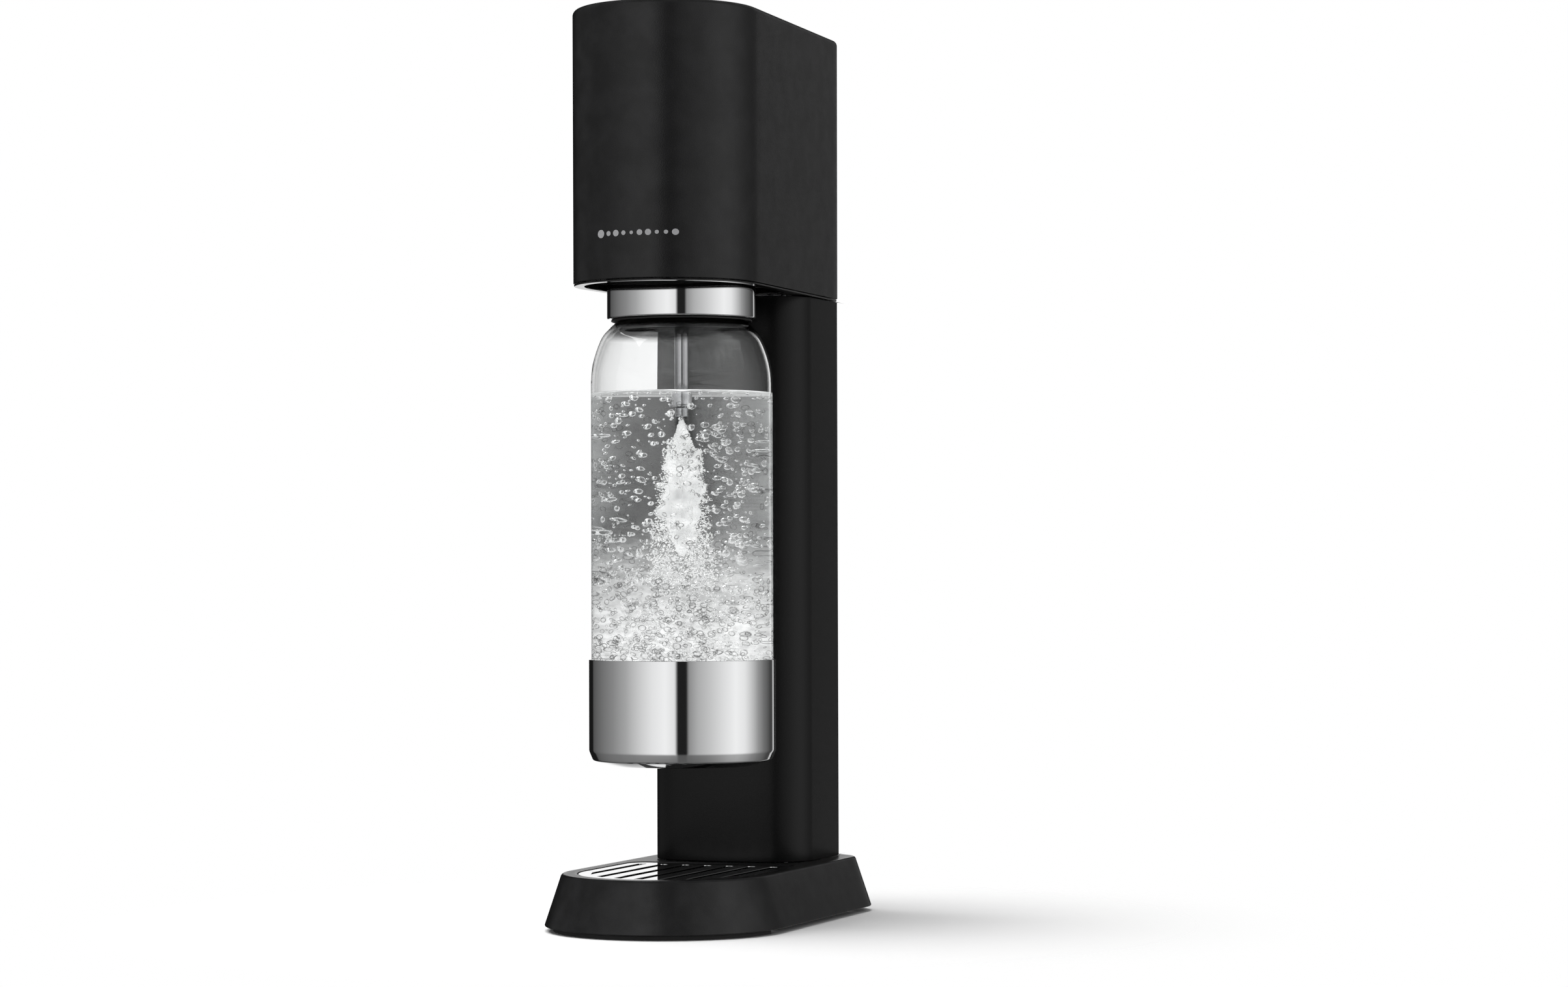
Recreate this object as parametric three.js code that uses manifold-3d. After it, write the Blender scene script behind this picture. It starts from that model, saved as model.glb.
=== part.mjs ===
// Soda carbonator with a tilting bottle holder, a drip tray and a gas cylinder in its column.
// Millimetres, +Z up, the front faces -Y. All pieces are drawn around the upright bottle's axis,
// and the exported group moves them so that the origin is under the middle of the whole machine.
import * as THREE from "three";
import { mergeVertices } from "three/addons/utils/BufferGeometryUtils.js";
import Module from "manifold-3d";

const wasm = await Module();
wasm.setup();

// ---- Driving dimensions ---------------------------------------------------------------------
const ROUND = 24; // sides of a turned piece
const SMALL_ROUND = 8; // sides of a screw or boss
const PIN_ROUND = 24; // sides of a pin and of the hole that turns on it
const CURVE_STEPS = 6; // steps along each arc of an outline
const FIT = 0.3; // gap between pieces that touch

const base = {
  halfWidth: 57.6, noseY: -19.5, rearY: 128, corner: 26, taper: 0,
  bottomZ: 2.4, topZ: 26.7, flare: 8.1, wall: 2.6, deck: 2.4,
};
const tray = {
  rim: 7.4, rearY: 43, corner: 8, wellWall: 1.8, wellFloorZ: 5, floor: 1.6, wall: 1.4, topZ: 24,
};
const grille = { bottomZ: 24.3, topZ: 26.4, slots: 7, pitch: 11.3, slotWidth: 4.6, border: 5 };
const foot = { height: 2.1, inset: 3.5, width: 10.5, cutY: -24, rearRadius: 9, rearX: 36, rearY: 112 };
const column = {
  halfWidth: 40, frontY: 48, frontRadius: 110, frontCorner: 20, rearY: 118, rearCorner: 12,
  bottomZ: 27, topZ: 300.7, wall: 2.4, seamY: 107,
};
const head = {
  halfWidth: 44.7, noseY: -17, rearY: 118, corner: 14, taper: THREE.MathUtils.degToRad(1.8),
  rimZ: 301, bottomZ: 304, topZ: 430.7, wall: 2.6, fillet: 3,
};
const recess = { lip: 5.4, rearY: 44, corner: 8, wall: 1.6, ceilingZ: 345.4 };
const bottle = { radius: 43, wall: 1.3, bottomZ: 80, shoulderZ: 257, neckRadius: 20, topZ: 306 };
const cup = { radius: 44.2, inner: 43.4, bottomZ: 76, topZ: 126, corner: 8, floor: 1.6 };
const collar = { lipZ: 285.5, lipRadius: 33.4, radius: 32.6, topZ: 312, cavity: 24, hole: 8 };
const ring = { inner: 32.9, outer: 35.3, bottomZ: 286.6, topZ: 305.6 };
const nozzle = { tube: 3.4, bore: 1.2, bodyTopZ: 251.7, bodyZ: 245, tipZ: 240.3 };
const pivot = { y: 38, z: 314, pin: 2, earIn: 28, earOut: 32 };
const button = { y: -12, radius: 20, bottomZ: 423, topZ: 430.5, stem: 4, stemZ: 395.4 };
const lever = { y: 104, z: 392, frontY: -18, bottomZ: 389, topZ: 395, halfWidth: 5, hub: 6 };
const chassis = { bottomZ: 349, topZ: 351.5 };
const cylinder = { y: 81.2, radius: 30, wall: 2.4, bottomZ: 33.5, shoulderZ: 305, neckZ: 336, valveZ: 357 };
const handle = { y: 98, z: 286, halfWidth: 34.8, rearY: 115.2, thick: 2.8, bottomZ: 246, bandZ: 262 };
const latch = { halfWidth: 11.6, bottomZ: 280.4, topZ: 289.6, depth: 3.4 };
const screw = { shaft: 1.5, head: 3, headHeight: 1.2, hole: 1.8 };

const frameCentreY = (base.noseY - base.halfWidth + base.rearY) / 2;

// ---- Finishes -------------------------------------------------------------------------------
const finish = (color, roughness, metalness) =>
  new THREE.MeshStandardMaterial({ color, roughness, metalness });
const satinBlack = finish(0x1c1c1e, 0.5, 0);
const innerBlack = finish(0x141416, 0.7, 0);
const chrome = finish(0xd8dadc, 0.08, 1);
const rubber = finish(0x0d0d0d, 0.9, 0);
const clearPlastic = new THREE.MeshStandardMaterial({
  color: 0xeef4f6, roughness: 0.05, metalness: 0, transparent: true, opacity: 0.35,
});
const steel = finish(0x9b9d9f, 0.35, 1);
const brass = finish(0xb08d45, 0.35, 1);
const enamel = finish(0xd86a86, 0.35, 0.2);
const whitePlastic = finish(0xe8e8e6, 0.5, 0);

// ---- Solids: joining and cutting ------------------------------------------------------------
function toSolid(geometry) {
  const bare = geometry.clone();
  bare.deleteAttribute("normal");
  bare.deleteAttribute("uv");
  const merged = mergeVertices(bare, 1e-4);
  const index = merged.index.array;
  const kept = [];
  for (let i = 0; i < index.length; i += 3) {
    const [a, b, c] = [index[i], index[i + 1], index[i + 2]];
    if (a !== b && b !== c && c !== a) kept.push(a, b, c);
  }
  return new wasm.Manifold(new wasm.Mesh({
    numProp: 3,
    vertProperties: new Float32Array(merged.attributes.position.array),
    triVerts: new Uint32Array(kept),
  }));
}

function toGeometry(solid) {
  const mesh = solid.getMesh();
  const positions = new Float32Array(mesh.numVert * 3);
  for (let i = 0; i < mesh.numVert; i++)
    positions.set(mesh.vertProperties.subarray(i * mesh.numProp, i * mesh.numProp + 3), i * 3);
  const geometry = new THREE.BufferGeometry();
  geometry.setAttribute("position", new THREE.BufferAttribute(positions, 3));
  geometry.setIndex(new THREE.BufferAttribute(mesh.triVerts, 1));
  return geometry;
}

const join = (...geometries) =>
  toGeometry(geometries.map(toSolid).reduce((sum, next) => sum.add(next)));
const cut = (geometry, ...tools) =>
  toGeometry(tools.map(toSolid).reduce((rest, tool) => rest.subtract(tool), toSolid(geometry)));
const common = (geometry, other) => toGeometry(toSolid(geometry).intersect(toSolid(other)));

// ---- Plain shapes ---------------------------------------------------------------------------
// A piece turned about +Z from [radius, height] points that run round its section anticlockwise.
function turned(profile, x = 0, y = 0, sides = ROUND) {
  const points = profile.map(([radius, z]) => new THREE.Vector2(radius, z));
  return new THREE.LatheGeometry(points, sides).rotateX(Math.PI / 2).translate(x, y, 0);
}

const disc = (radius, z0, z1, x = 0, y = 0, sides = ROUND) =>
  turned([[0, z0], [radius, z0], [radius, z1], [0, z1]], x, y, sides);
const tube = (inner, outer, z0, z1, x = 0, y = 0, sides = ROUND) =>
  turned([[inner, z0], [outer, z0], [outer, z1], [inner, z1], [inner, z0]], x, y, sides);

// A round bar along +X from x0 to x1.
const crossBar = (radius, x0, x1, y, z) =>
  disc(radius, x0, x1, 0, 0, PIN_ROUND).rotateY(Math.PI / 2).translate(0, y, z);

function block(x0, x1, y0, y1, z0, z1) {
  const box = new THREE.BoxGeometry(x1 - x0, y1 - y0, z1 - z0);
  return box.translate((x0 + x1) / 2, (y0 + y1) / 2, (z0 + z1) / 2);
}

const plate = (shape, z0, z1) =>
  new THREE.ExtrudeGeometry(shape, {
    depth: z1 - z0, bevelEnabled: false, curveSegments: CURVE_STEPS,
  }).translate(0, 0, z0);

// The outline is full size up to z1 - height, then draws in by size in the given number of steps.
function drawnIn(shape, z0, z1, size, height, steps) {
  const whole = new THREE.ExtrudeGeometry(shape, {
    depth: z1 - height - z0, curveSegments: CURVE_STEPS,
    bevelThickness: height, bevelSize: size, bevelOffset: -size, bevelSegments: steps,
  }).translate(0, 0, z0);
  const reach = 400;
  return cut(whole, block(-reach, reach, -reach, reach, z0 - height - 1, z0));
}

// A plan with a round nose, straight sides that close in by taper, and rounded rear corners.
function nosePlan(plan, inset = 0) {
  const radius = plan.halfWidth - inset;
  const corner = Math.max(plan.corner - inset, 1);
  const rearY = plan.rearY - inset;
  const cornerY = rearY - corner;
  const rise = (cornerY - plan.noseY) * Math.sin(plan.taper);
  const cornerX = (radius - corner - rise) / Math.cos(plan.taper);
  const shape = new THREE.Shape();
  shape.absarc(cornerX, cornerY, corner, plan.taper, Math.PI / 2, false);
  shape.absarc(-cornerX, cornerY, corner, Math.PI / 2, Math.PI - plan.taper, false);
  shape.absarc(0, plan.noseY, radius, Math.PI - plan.taper, 2 * Math.PI + plan.taper, false);
  shape.closePath();
  return shape;
}

// The column's plan: a gently bowed front, round front corners, flat sides and rounded rear.
function columnPlan(inset = 0) {
  const bow = column.frontRadius - inset;
  const corner = column.frontCorner - inset;
  const rear = column.rearCorner - inset;
  const cornerX = column.halfWidth - column.frontCorner;
  const bowY = column.frontY + column.frontRadius;
  const reach = column.frontRadius - column.frontCorner;
  const cornerY = bowY - Math.sqrt(reach ** 2 - cornerX ** 2);
  const turn = Math.atan2(cornerX, bowY - cornerY);
  const rearX = column.halfWidth - column.rearCorner;
  const rearY = column.rearY - column.rearCorner;
  const down = -Math.PI / 2;
  const shape = new THREE.Shape();
  shape.absarc(cornerX, cornerY, corner, down + turn, 0, false);
  shape.absarc(rearX, rearY, rear, 0, Math.PI / 2, false);
  shape.absarc(-rearX, rearY, rear, Math.PI / 2, Math.PI, false);
  shape.absarc(-cornerX, cornerY, corner, Math.PI, 1.5 * Math.PI - turn, false);
  shape.absarc(0, bowY, bow, down - turn, down + turn, false);
  shape.closePath();
  return shape;
}

const BOX = 300; // half size of a block that takes away everything on one side of a plane
const behind = (y) => block(-BOX, BOX, y, y + BOX, -10, 500);
const before = (y) => block(-BOX, BOX, y - BOX, y, -10, 500);

// ---- The assembly ---------------------------------------------------------------------------
const machine = new THREE.Group();
machine.position.y = -frameCentreY;

function add(name, geometry, material) {
  const mesh = new THREE.Mesh(geometry, material);
  mesh.name = name;
  machine.add(mesh);
}

// A pan-head screw with its head's underside at z; up is +1 when the shaft points up.
function addScrew(name, x, y, z, up, length) {
  const headEnd = z - up * screw.headHeight;
  const shaftEnd = z + up * length;
  const outline = [[0, headEnd], [screw.head, headEnd], [screw.head, z], [screw.shaft, z],
    [screw.shaft, shaftEnd], [0, shaftEnd]];
  add(name, turned(up > 0 ? outline : outline.reverse(), x, y, SMALL_ROUND), steel);
}

const fourCorners = (frontX, frontY, rearX, rearY) =>
  [[-frontX, frontY], [frontX, frontY], [-rearX, rearY], [rearX, rearY]];

// ---- Base -----------------------------------------------------------------------------------
const topPlan = { ...base, halfWidth: base.halfWidth - base.flare };
const wellPlan = { ...topPlan, rearY: tray.rearY + tray.rim, corner: tray.corner + tray.rim };
const baseBosses = fourCorners(47.5, -10, 47.5, 100);
const columnBosses = [[-30, 58.5], [30, 58.5]];

function baseHousing() {
  const deckUnderZ = base.topZ - base.deck;
  const rise = (base.topZ - base.bottomZ);
  const outer = drawnIn(nosePlan(base), base.bottomZ - 1, base.topZ, base.flare, rise, 1);
  const hollow = drawnIn(nosePlan(base, base.wall), base.bottomZ - 1, deckUnderZ,
    base.flare * (deckUnderZ - base.bottomZ) / rise, deckUnderZ - base.bottomZ, 1);
  const shell = cut(outer, hollow, block(-BOX, BOX, -BOX, BOX, 0, base.bottomZ));
  const well = plate(nosePlan(wellPlan, tray.rim - tray.wellWall), tray.wellFloorZ, base.topZ - 1);
  const opening = plate(nosePlan(wellPlan, tray.rim), tray.wellFloorZ + tray.floor, base.topZ + 1);
  const bosses = baseBosses.map(([x, y]) => disc(3.5, 4.7, 18, x, y, SMALL_ROUND));
  const holes = baseBosses.map(([x, y]) => disc(screw.hole, 4, 15, x, y, SMALL_ROUND));
  const deckHoles = columnBosses.map(([x, y]) => disc(screw.hole, 20, 30, x, y, SMALL_ROUND));
  return cut(join(shell, well, ...bosses), opening, ...holes, ...deckHoles);
}

function bottomPlate() {
  const inset = base.wall + 1.2;
  const holes = baseBosses.map(([x, y]) => disc(screw.hole, 0, 8, x, y, SMALL_ROUND));
  return cut(plate(nosePlan(base, inset), base.bottomZ, base.bottomZ + 2), ...holes);
}

function frontFoot() {
  const ringPlan = { ...base, halfWidth: base.halfWidth - foot.inset };
  const band = cut(plate(nosePlan(ringPlan), 0, foot.height),
    plate(nosePlan(ringPlan, foot.width), -1, foot.height + 1));
  return cut(band, behind(foot.cutY));
}

add("base_housing", baseHousing(), satinBlack);
add("base_bottom_plate", bottomPlate(), innerBlack);
add("front_foot", frontFoot(), rubber);
for (const [side, x] of [["left", -foot.rearX], ["right", foot.rearX]])
  add(`rear_foot_${side}`, disc(foot.rearRadius, 0, foot.height, x, foot.rearY, 24), rubber);
baseBosses.forEach(([x, y], i) => addScrew(`base_screw_${i + 1}`, x, y, foot.height, 1, 11));

// ---- Drip tray and its grille ---------------------------------------------------------------
function dripTray() {
  const floorZ = tray.wellFloorZ + tray.floor + FIT;
  const outer = plate(nosePlan(wellPlan, tray.rim + FIT), floorZ, tray.topZ);
  const inside = plate(nosePlan(wellPlan, tray.rim + FIT + tray.wall), floorZ + tray.floor,
    tray.topZ + 1);
  return cut(outer, inside);
}

function dripGrille() {
  const outer = plate(nosePlan(wellPlan, tray.rim + FIT), grille.bottomZ, grille.topZ);
  const inside = plate(nosePlan(wellPlan, tray.rim + grille.border), 20, 30);
  const half = grille.slotWidth / 2;
  const slots = Array.from({ length: grille.slots }, (_, i) => {
    const x = (i - (grille.slots - 1) / 2) * grille.pitch;
    return common(inside, block(x - half, x + half, -BOX, BOX, 20, 30));
  });
  return cut(outer, ...slots);
}

add("drip_tray", dripTray(), satinBlack);
add("drip_grille", dripGrille(), chrome);

// ---- Column and its rear cover --------------------------------------------------------------
const columnWall = cut(plate(columnPlan(), column.bottomZ, column.topZ),
  plate(columnPlan(column.wall), column.bottomZ - 1, column.topZ + 1));

function columnShell() {
  const bossHeight = 12;
  const ends = [[column.bottomZ, column.bottomZ + bossHeight], [column.topZ - bossHeight, column.topZ]];
  const bosses = ends.flatMap(([z0, z1]) =>
    columnBosses.map(([x, y]) => disc(3.5, z0, z1, x, y, SMALL_ROUND)));
  const holes = columnBosses.map(([x, y]) =>
    disc(screw.hole, column.bottomZ - 1, column.topZ + 1, x, y, SMALL_ROUND));
  const walls = cut(columnWall, behind(column.seamY));
  return cut(join(walls, ...bosses), ...holes);
}

function rearCover() {
  const wall = cut(columnWall, before(column.seamY + FIT),
    block(-BOX, BOX, 0, BOX, 0, column.bottomZ + FIT));
  const gap = FIT + latch.halfWidth;
  return cut(wall, block(-gap, gap, 100, 130, latch.bottomZ - FIT, latch.topZ + FIT));
}

add("column_shell", columnShell(), satinBlack);
add("rear_cover", rearCover(), satinBlack);
add("cover_latch", block(-latch.halfWidth, latch.halfWidth, column.rearY - latch.depth,
  column.rearY, latch.bottomZ, latch.topZ), innerBlack);
columnBosses.forEach(([x, y], i) => addScrew(`column_screw_${i + 1}`, x, y, 24, 1, 13));
columnBosses.forEach(([x, y], i) => addScrew(`column_screw_${i + 3}`, x, y, 304, -1, 13));

// ---- Gas cylinder and the handle that seats it ----------------------------------------------
function gasCylinder() {
  const { radius: r, wall: w, bottomZ: z0, shoulderZ: z1, neckZ: z2 } = cylinder;
  const neck = 13;
  return turned([
    [0, z0], [r - 5, z0], [r, z0 + 5], [r, z1], [r - 2.5, z1 + 9], [r - 9, z1 + 17],
    [neck, z1 + 23], [neck, z2], [neck - w, z2], [neck - w, z1 + 22], [r - 10, z1 + 14.5],
    [r - 2.5 - w, z1 + 7.5], [r - w, z1], [r - w, z0 + 6], [r - 6, z0 + w], [0, z0 + w],
  ], 0, cylinder.y);
}

const cylinderValve = turned([
  [0, cylinder.neckZ - 8], [10, cylinder.neckZ - 8], [10, cylinder.neckZ + FIT],
  [14, cylinder.neckZ + FIT], [14, cylinder.neckZ + 7], [12, cylinder.neckZ + 9],
  [12, cylinder.valveZ - 1], [11, cylinder.valveZ], [0, cylinder.valveZ],
], 0, cylinder.y);

function cylinderHandle() {
  const plan = { halfWidth: handle.halfWidth, noseY: 60, rearY: handle.rearY, corner: 8, taper: 0 };
  const band = cut(plate(nosePlan(plan), handle.bottomZ, handle.bandZ),
    plate(nosePlan(plan, handle.thick), 200, 300), before(93));
  const inner = handle.halfWidth - handle.thick;
  const legs = [[-handle.halfWidth, -inner], [inner, handle.halfWidth]].map(([x0, x1]) =>
    block(x0, x1, 93, 104, handle.bottomZ + 1, handle.z + 6));
  return cut(join(band, ...legs), crossBar(pivot.pin + FIT, -40, 40, handle.y, handle.z));
}

add("co2_cylinder", gasCylinder(), enamel);
add("cylinder_valve", cylinderValve, brass);
add("cylinder_handle", cylinderHandle(), innerBlack);
for (const [side, x] of [["left", -37.3], ["right", 31.5]])
  add(`handle_pin_${side}`, crossBar(pivot.pin, x, x + 5.8, handle.y, handle.z), steel);

// ---- Head -----------------------------------------------------------------------------------
const headBosses = fourCorners(36.5, 51, 34.4, 105);
const headBossRadius = 4.3;
const recessPlan = {
  ...head, halfWidth: head.halfWidth - recess.lip, rearY: recess.rearY, corner: recess.corner,
};

function headShell() {
  const outer = drawnIn(nosePlan(head), head.bottomZ, head.topZ, head.fillet, head.fillet, 3);
  const hollow = plate(nosePlan(head, head.wall), head.bottomZ - 1, head.topZ - head.wall);
  const bosses = headBosses.map(([x, y]) =>
    disc(headBossRadius, head.bottomZ, chassis.bottomZ - FIT, x, y, SMALL_ROUND));
  const holes = headBosses.map(([x, y]) =>
    disc(screw.hole, head.bottomZ - 1, chassis.bottomZ + 1, x, y, SMALL_ROUND));
  const well = disc(button.radius + 0.5, head.topZ - 10, head.topZ + 1, 0, button.y);
  return cut(join(cut(outer, hollow), ...bosses), well, ...holes);
}

function headRim() {
  const top = head.bottomZ - FIT;
  const rim = plate(nosePlan(head, 1), head.rimZ, top);
  const opening = plate(nosePlan(recessPlan), head.rimZ - 1, top + 1);
  const passage = disc(cylinder.radius + 1.5, head.rimZ - 1, top + 1, 0, cylinder.y);
  const sinks = headBosses.flatMap(([x, y]) => [
    disc(screw.head + FIT, head.rimZ - 1, head.rimZ + 1.5, x, y, SMALL_ROUND),
    disc(screw.hole, head.rimZ, top + 1, x, y, SMALL_ROUND)]);
  const holes = columnBosses.map(([x, y]) =>
    disc(screw.hole, head.rimZ - 1, top + 1, x, y, SMALL_ROUND));
  return cut(rim, opening, passage, ...sinks, ...holes);
}

function recessLiner() {
  const top = recess.ceilingZ + recess.wall;
  const outer = plate(nosePlan(recessPlan, -recess.wall), head.bottomZ, top);
  const inside = plate(nosePlan(recessPlan), head.bottomZ - 1, recess.ceilingZ);
  const pinHole = crossBar(pivot.pin + FIT, -50, 50, pivot.y, pivot.z);
  return cut(outer, inside, pinHole, disc(4.4, recess.ceilingZ - 1, top + 1, 0, 0, SMALL_ROUND));
}

function chassisPlate() {
  const { bottomZ, topZ } = chassis;
  const sheet = plate(nosePlan(head, head.wall + 0.6), bottomZ, topZ);
  const ears = [[-11, -8], [8, 11]].map(([x0, x1]) => block(x0, x1, 99, 109, topZ - 1, lever.z + 6));
  const holes = headBosses.map(([x, y]) =>
    disc(screw.hole, bottomZ - 1, topZ + 1, x, y, SMALL_ROUND));
  return cut(join(sheet, ...ears), ...holes, disc(15.5, bottomZ - 1, topZ + 1, 0, cylinder.y),
    disc(5.2, bottomZ - 1, topZ + 1, 0, 0, SMALL_ROUND),
    crossBar(pivot.pin + FIT, -20, 20, lever.y, lever.z));
}

add("head_shell", headShell(), satinBlack);
add("head_rim", headRim(), innerBlack);
add("recess_liner", recessLiner(), innerBlack);
add("chassis_plate", chassisPlate(), steel);
headBosses.forEach(([x, y], i) => {
  addScrew(`head_screw_${i + 1}`, x, y, head.rimZ + 1.3, 1, 16);
  addScrew(`chassis_screw_${i + 1}`, x, y, chassis.topZ + FIT, -1, 12);
});

// ---- Carbonation button, its lever and the gas valve ----------------------------------------
const buttonPiece = turned([
  [0, button.stemZ], [button.stem, button.stemZ], [button.stem, button.bottomZ],
  [button.radius, button.bottomZ], [button.radius, button.topZ - 1],
  [button.radius - 1, button.topZ], [0, button.topZ - 0.6],
], 0, button.y);
const guideFloorZ = 404;
const buttonGuide = turned([
  [4.5, guideFloorZ], [23, guideFloorZ], [23, head.topZ - head.wall - FIT],
  [20.6, head.topZ - head.wall - FIT], [20.6, guideFloorZ + 2], [4.5, guideFloorZ + 2],
  [4.5, guideFloorZ],
], 0, button.y);

function actuatorLever() {
  const { y, z, frontY, bottomZ, topZ, halfWidth, hub } = lever;
  const bar = block(-halfWidth, halfWidth, frontY, y, bottomZ, topZ);
  const round = crossBar(hub, -halfWidth, halfWidth, y, z);
  const pad = block(-halfWidth, halfWidth, cylinder.y - 4, cylinder.y + 4, bottomZ - 1.5, topZ);
  return cut(join(bar, round, pad), crossBar(pivot.pin + 0.05, -10, 10, y, z));
}

const blockTopZ = 380;
const valveBlock = cut(
  block(-17, 17, cylinder.y - 17, cylinder.y + 17, chassis.topZ + FIT, blockTopZ),
  disc(15.5, chassis.topZ - 1, cylinder.valveZ + 1, 0, cylinder.y),
  disc(2.6, cylinder.valveZ, blockTopZ + 1, 0, cylinder.y, SMALL_ROUND));
const valvePin = turned([
  [0, cylinder.valveZ + 2.5], [2.3, cylinder.valveZ + 2.5], [2.3, 383], [5, 383], [5, 387.2],
  [0, 387.2],
], 0, cylinder.y, SMALL_ROUND);

// The gas hose leaves the front of the valve block and turns down to the fitting in the recess.
const hosePath = new THREE.CatmullRomCurve3([
  new THREE.Vector3(0, cylinder.y - 17 - FIT, 368), new THREE.Vector3(0, 52, 367.5),
  new THREE.Vector3(0, 30, 366), new THREE.Vector3(0, 10, 365), new THREE.Vector3(0, 1.2, 360),
  new THREE.Vector3(0, 0, 353.2),
]);
const hoseSection = new THREE.Shape().absarc(0, 0, 3, 0, 2 * Math.PI, false);
const gasHose = new THREE.ExtrudeGeometry(hoseSection, {
  extrudePath: hosePath, steps: 16, curveSegments: 5, bevelEnabled: false,
});
const hoseFitting = turned([
  [0, 341], [4, 341], [4, 347.3], [7, 347.3], [7, 348.7], [4.8, 348.7], [4.8, 352], [0, 352],
], 0, 0, SMALL_ROUND);
const reliefValve = disc(5, 17 + FIT, 28, 0, 0, SMALL_ROUND).rotateY(Math.PI / 2)
  .translate(0, cylinder.y, 368);

add("carbonation_button", buttonPiece, satinBlack);
add("button_guide", buttonGuide, innerBlack);
add("button_spring", tube(6.5, 8, guideFloorZ + 2 + FIT, button.bottomZ - FIT, 0, button.y, 24), steel);
add("actuator_lever", actuatorLever(), steel);
add("lever_pin", crossBar(pivot.pin, -13, 13, lever.y, lever.z), steel);
add("valve_block", valveBlock, brass);
add("valve_pin", valvePin, steel);
add("relief_valve", reliefValve, brass);
add("gas_hose", gasHose, rubber);
add("hose_fitting", hoseFitting, brass);

// ---- Tilting bottle holder ------------------------------------------------------------------
function bottleCollar() {
  const { lipZ, lipRadius, radius, topZ, cavity, hole } = collar;
  const body = turned([
    [32.6, lipZ], [lipRadius, lipZ], [lipRadius, ring.bottomZ - FIT], [radius, ring.bottomZ - FIT],
    [radius, topZ], [hole, topZ], [hole, topZ - 3], [cavity, topZ - 3], [cavity, 292],
    [26.5, 290.5], [30, 288.5], [32.6, lipZ],
  ]);
  const ears = [[-pivot.earOut, -pivot.earIn], [pivot.earIn, pivot.earOut]].map(([x0, x1]) =>
    block(x0, x1, 8, pivot.y + 3.5, 306, pivot.z + 6));
  return cut(join(body, ...ears), crossBar(pivot.pin + 0.05, -45, 45, pivot.y, pivot.z));
}

const chromeRing = turned([
  [ring.inner, ring.bottomZ], [ring.outer - 0.6, ring.bottomZ], [ring.outer, ring.bottomZ + 1],
  [ring.outer, ring.topZ - 1], [ring.outer - 0.6, ring.topZ], [ring.inner, ring.topZ],
  [ring.inner, ring.bottomZ],
]);
const nozzleHead = turned([
  [0, 300], [7.6, 300], [7.6, collar.topZ + FIT], [12, collar.topZ + FIT], [12, 316], [6, 318],
  [6, 324], [0, 324],
], 0, 0, 24);

add("bottle_collar", bottleCollar(), innerBlack);
add("collar_ring", chromeRing, chrome);
add("bottle_seal", tube(10, 19.6, bottle.topZ + FIT, collar.topZ - 3 - FIT, 0, 0, 24), rubber);
add("nozzle_head", nozzleHead, whitePlastic);
add("nozzle_tube", tube(nozzle.bore, nozzle.tube, nozzle.bodyTopZ + FIT, 300 - FIT, 0, 0, 16), innerBlack);
add("nozzle_body", turned([
  [nozzle.bore, nozzle.bodyZ], [4.4, nozzle.bodyZ], [4.4, nozzle.bodyZ + 1],
  [3.6, nozzle.bodyZ + 1], [3.6, nozzle.bodyTopZ], [nozzle.bore, nozzle.bodyTopZ],
  [nozzle.bore, nozzle.bodyZ],
], 0, 0, 16), innerBlack);
add("nozzle_tip", turned([
  [0.6, nozzle.tipZ], [2, nozzle.tipZ], [2.4, nozzle.tipZ + 0.6], [2.4, nozzle.bodyZ - FIT],
  [0.6, nozzle.bodyZ - FIT], [0.6, nozzle.tipZ],
], 0, 0, 16), steel);
for (const [side, x] of [["left", -40], ["right", 27.5]])
  add(`holder_pin_${side}`, crossBar(pivot.pin, x, x + 12.5, pivot.y, pivot.z), steel);

// ---- Bottle ---------------------------------------------------------------------------------
function bottleBody() {
  const { radius: r, wall: w, bottomZ, shoulderZ, neckRadius: n, topZ } = bottle;
  return turned([
    [0, bottomZ], [r - 6, bottomZ], [r - 1.5, bottomZ + 2], [r, bottomZ + 6], [r, shoulderZ],
    [42.4, 264], [40.9, 270], [38.7, 276], [36.8, 279.4], [34.4, 282], [32.4, 284], [28.5, 287],
    [24, 289.4], [n, 290.5], [n, 294], [n + 3, 294], [n + 3, 297], [n, 297], [n, topZ],
    [n - w, topZ], [n - w, 289.2], [23.3, 287.8], [27.7, 285.6], [33.3, 280.9], [37.3, 275.5],
    [39.6, 269.5], [41.1, 263.7], [r - w, shoulderZ], [r - w, bottomZ + 7], [r - 3, bottomZ + 3.4],
    [r - 7, bottomZ + w], [0, bottomZ + w],
  ]);
}

const baseCup = turned([
  [0, cup.bottomZ], [cup.radius - cup.corner, cup.bottomZ],
  [cup.radius - cup.corner * 0.5, cup.bottomZ + cup.corner * 0.134],
  [cup.radius - cup.corner * 0.134, cup.bottomZ + cup.corner * 0.5],
  [cup.radius, cup.bottomZ + cup.corner], [cup.radius, cup.topZ], [cup.inner, cup.topZ],
  [cup.inner, cup.bottomZ + cup.corner + 1], [cup.inner - 1, cup.bottomZ + 4.6],
  [cup.inner - 4, cup.bottomZ + 2.4], [cup.inner - 7, cup.bottomZ + cup.floor],
  [0, cup.bottomZ + cup.floor],
]);

add("bottle_body", bottleBody(), clearPlastic);
add("bottle_base_cup", baseCup, chrome);

export default machine;
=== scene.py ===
# %% [markdown]
# # A countertop soda carbonator
# A satin black machine with a rounded head on a column, a chrome ringed collar that holds a clear
# bottle, and a flared base with a drip tray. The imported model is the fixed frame: it says where every
# part is, and this script gives each part its fine surface and its finish. All lengths are in metres.

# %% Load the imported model
import math

import bmesh
import bpy
from mathutils import Matrix, Vector, noise


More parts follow.
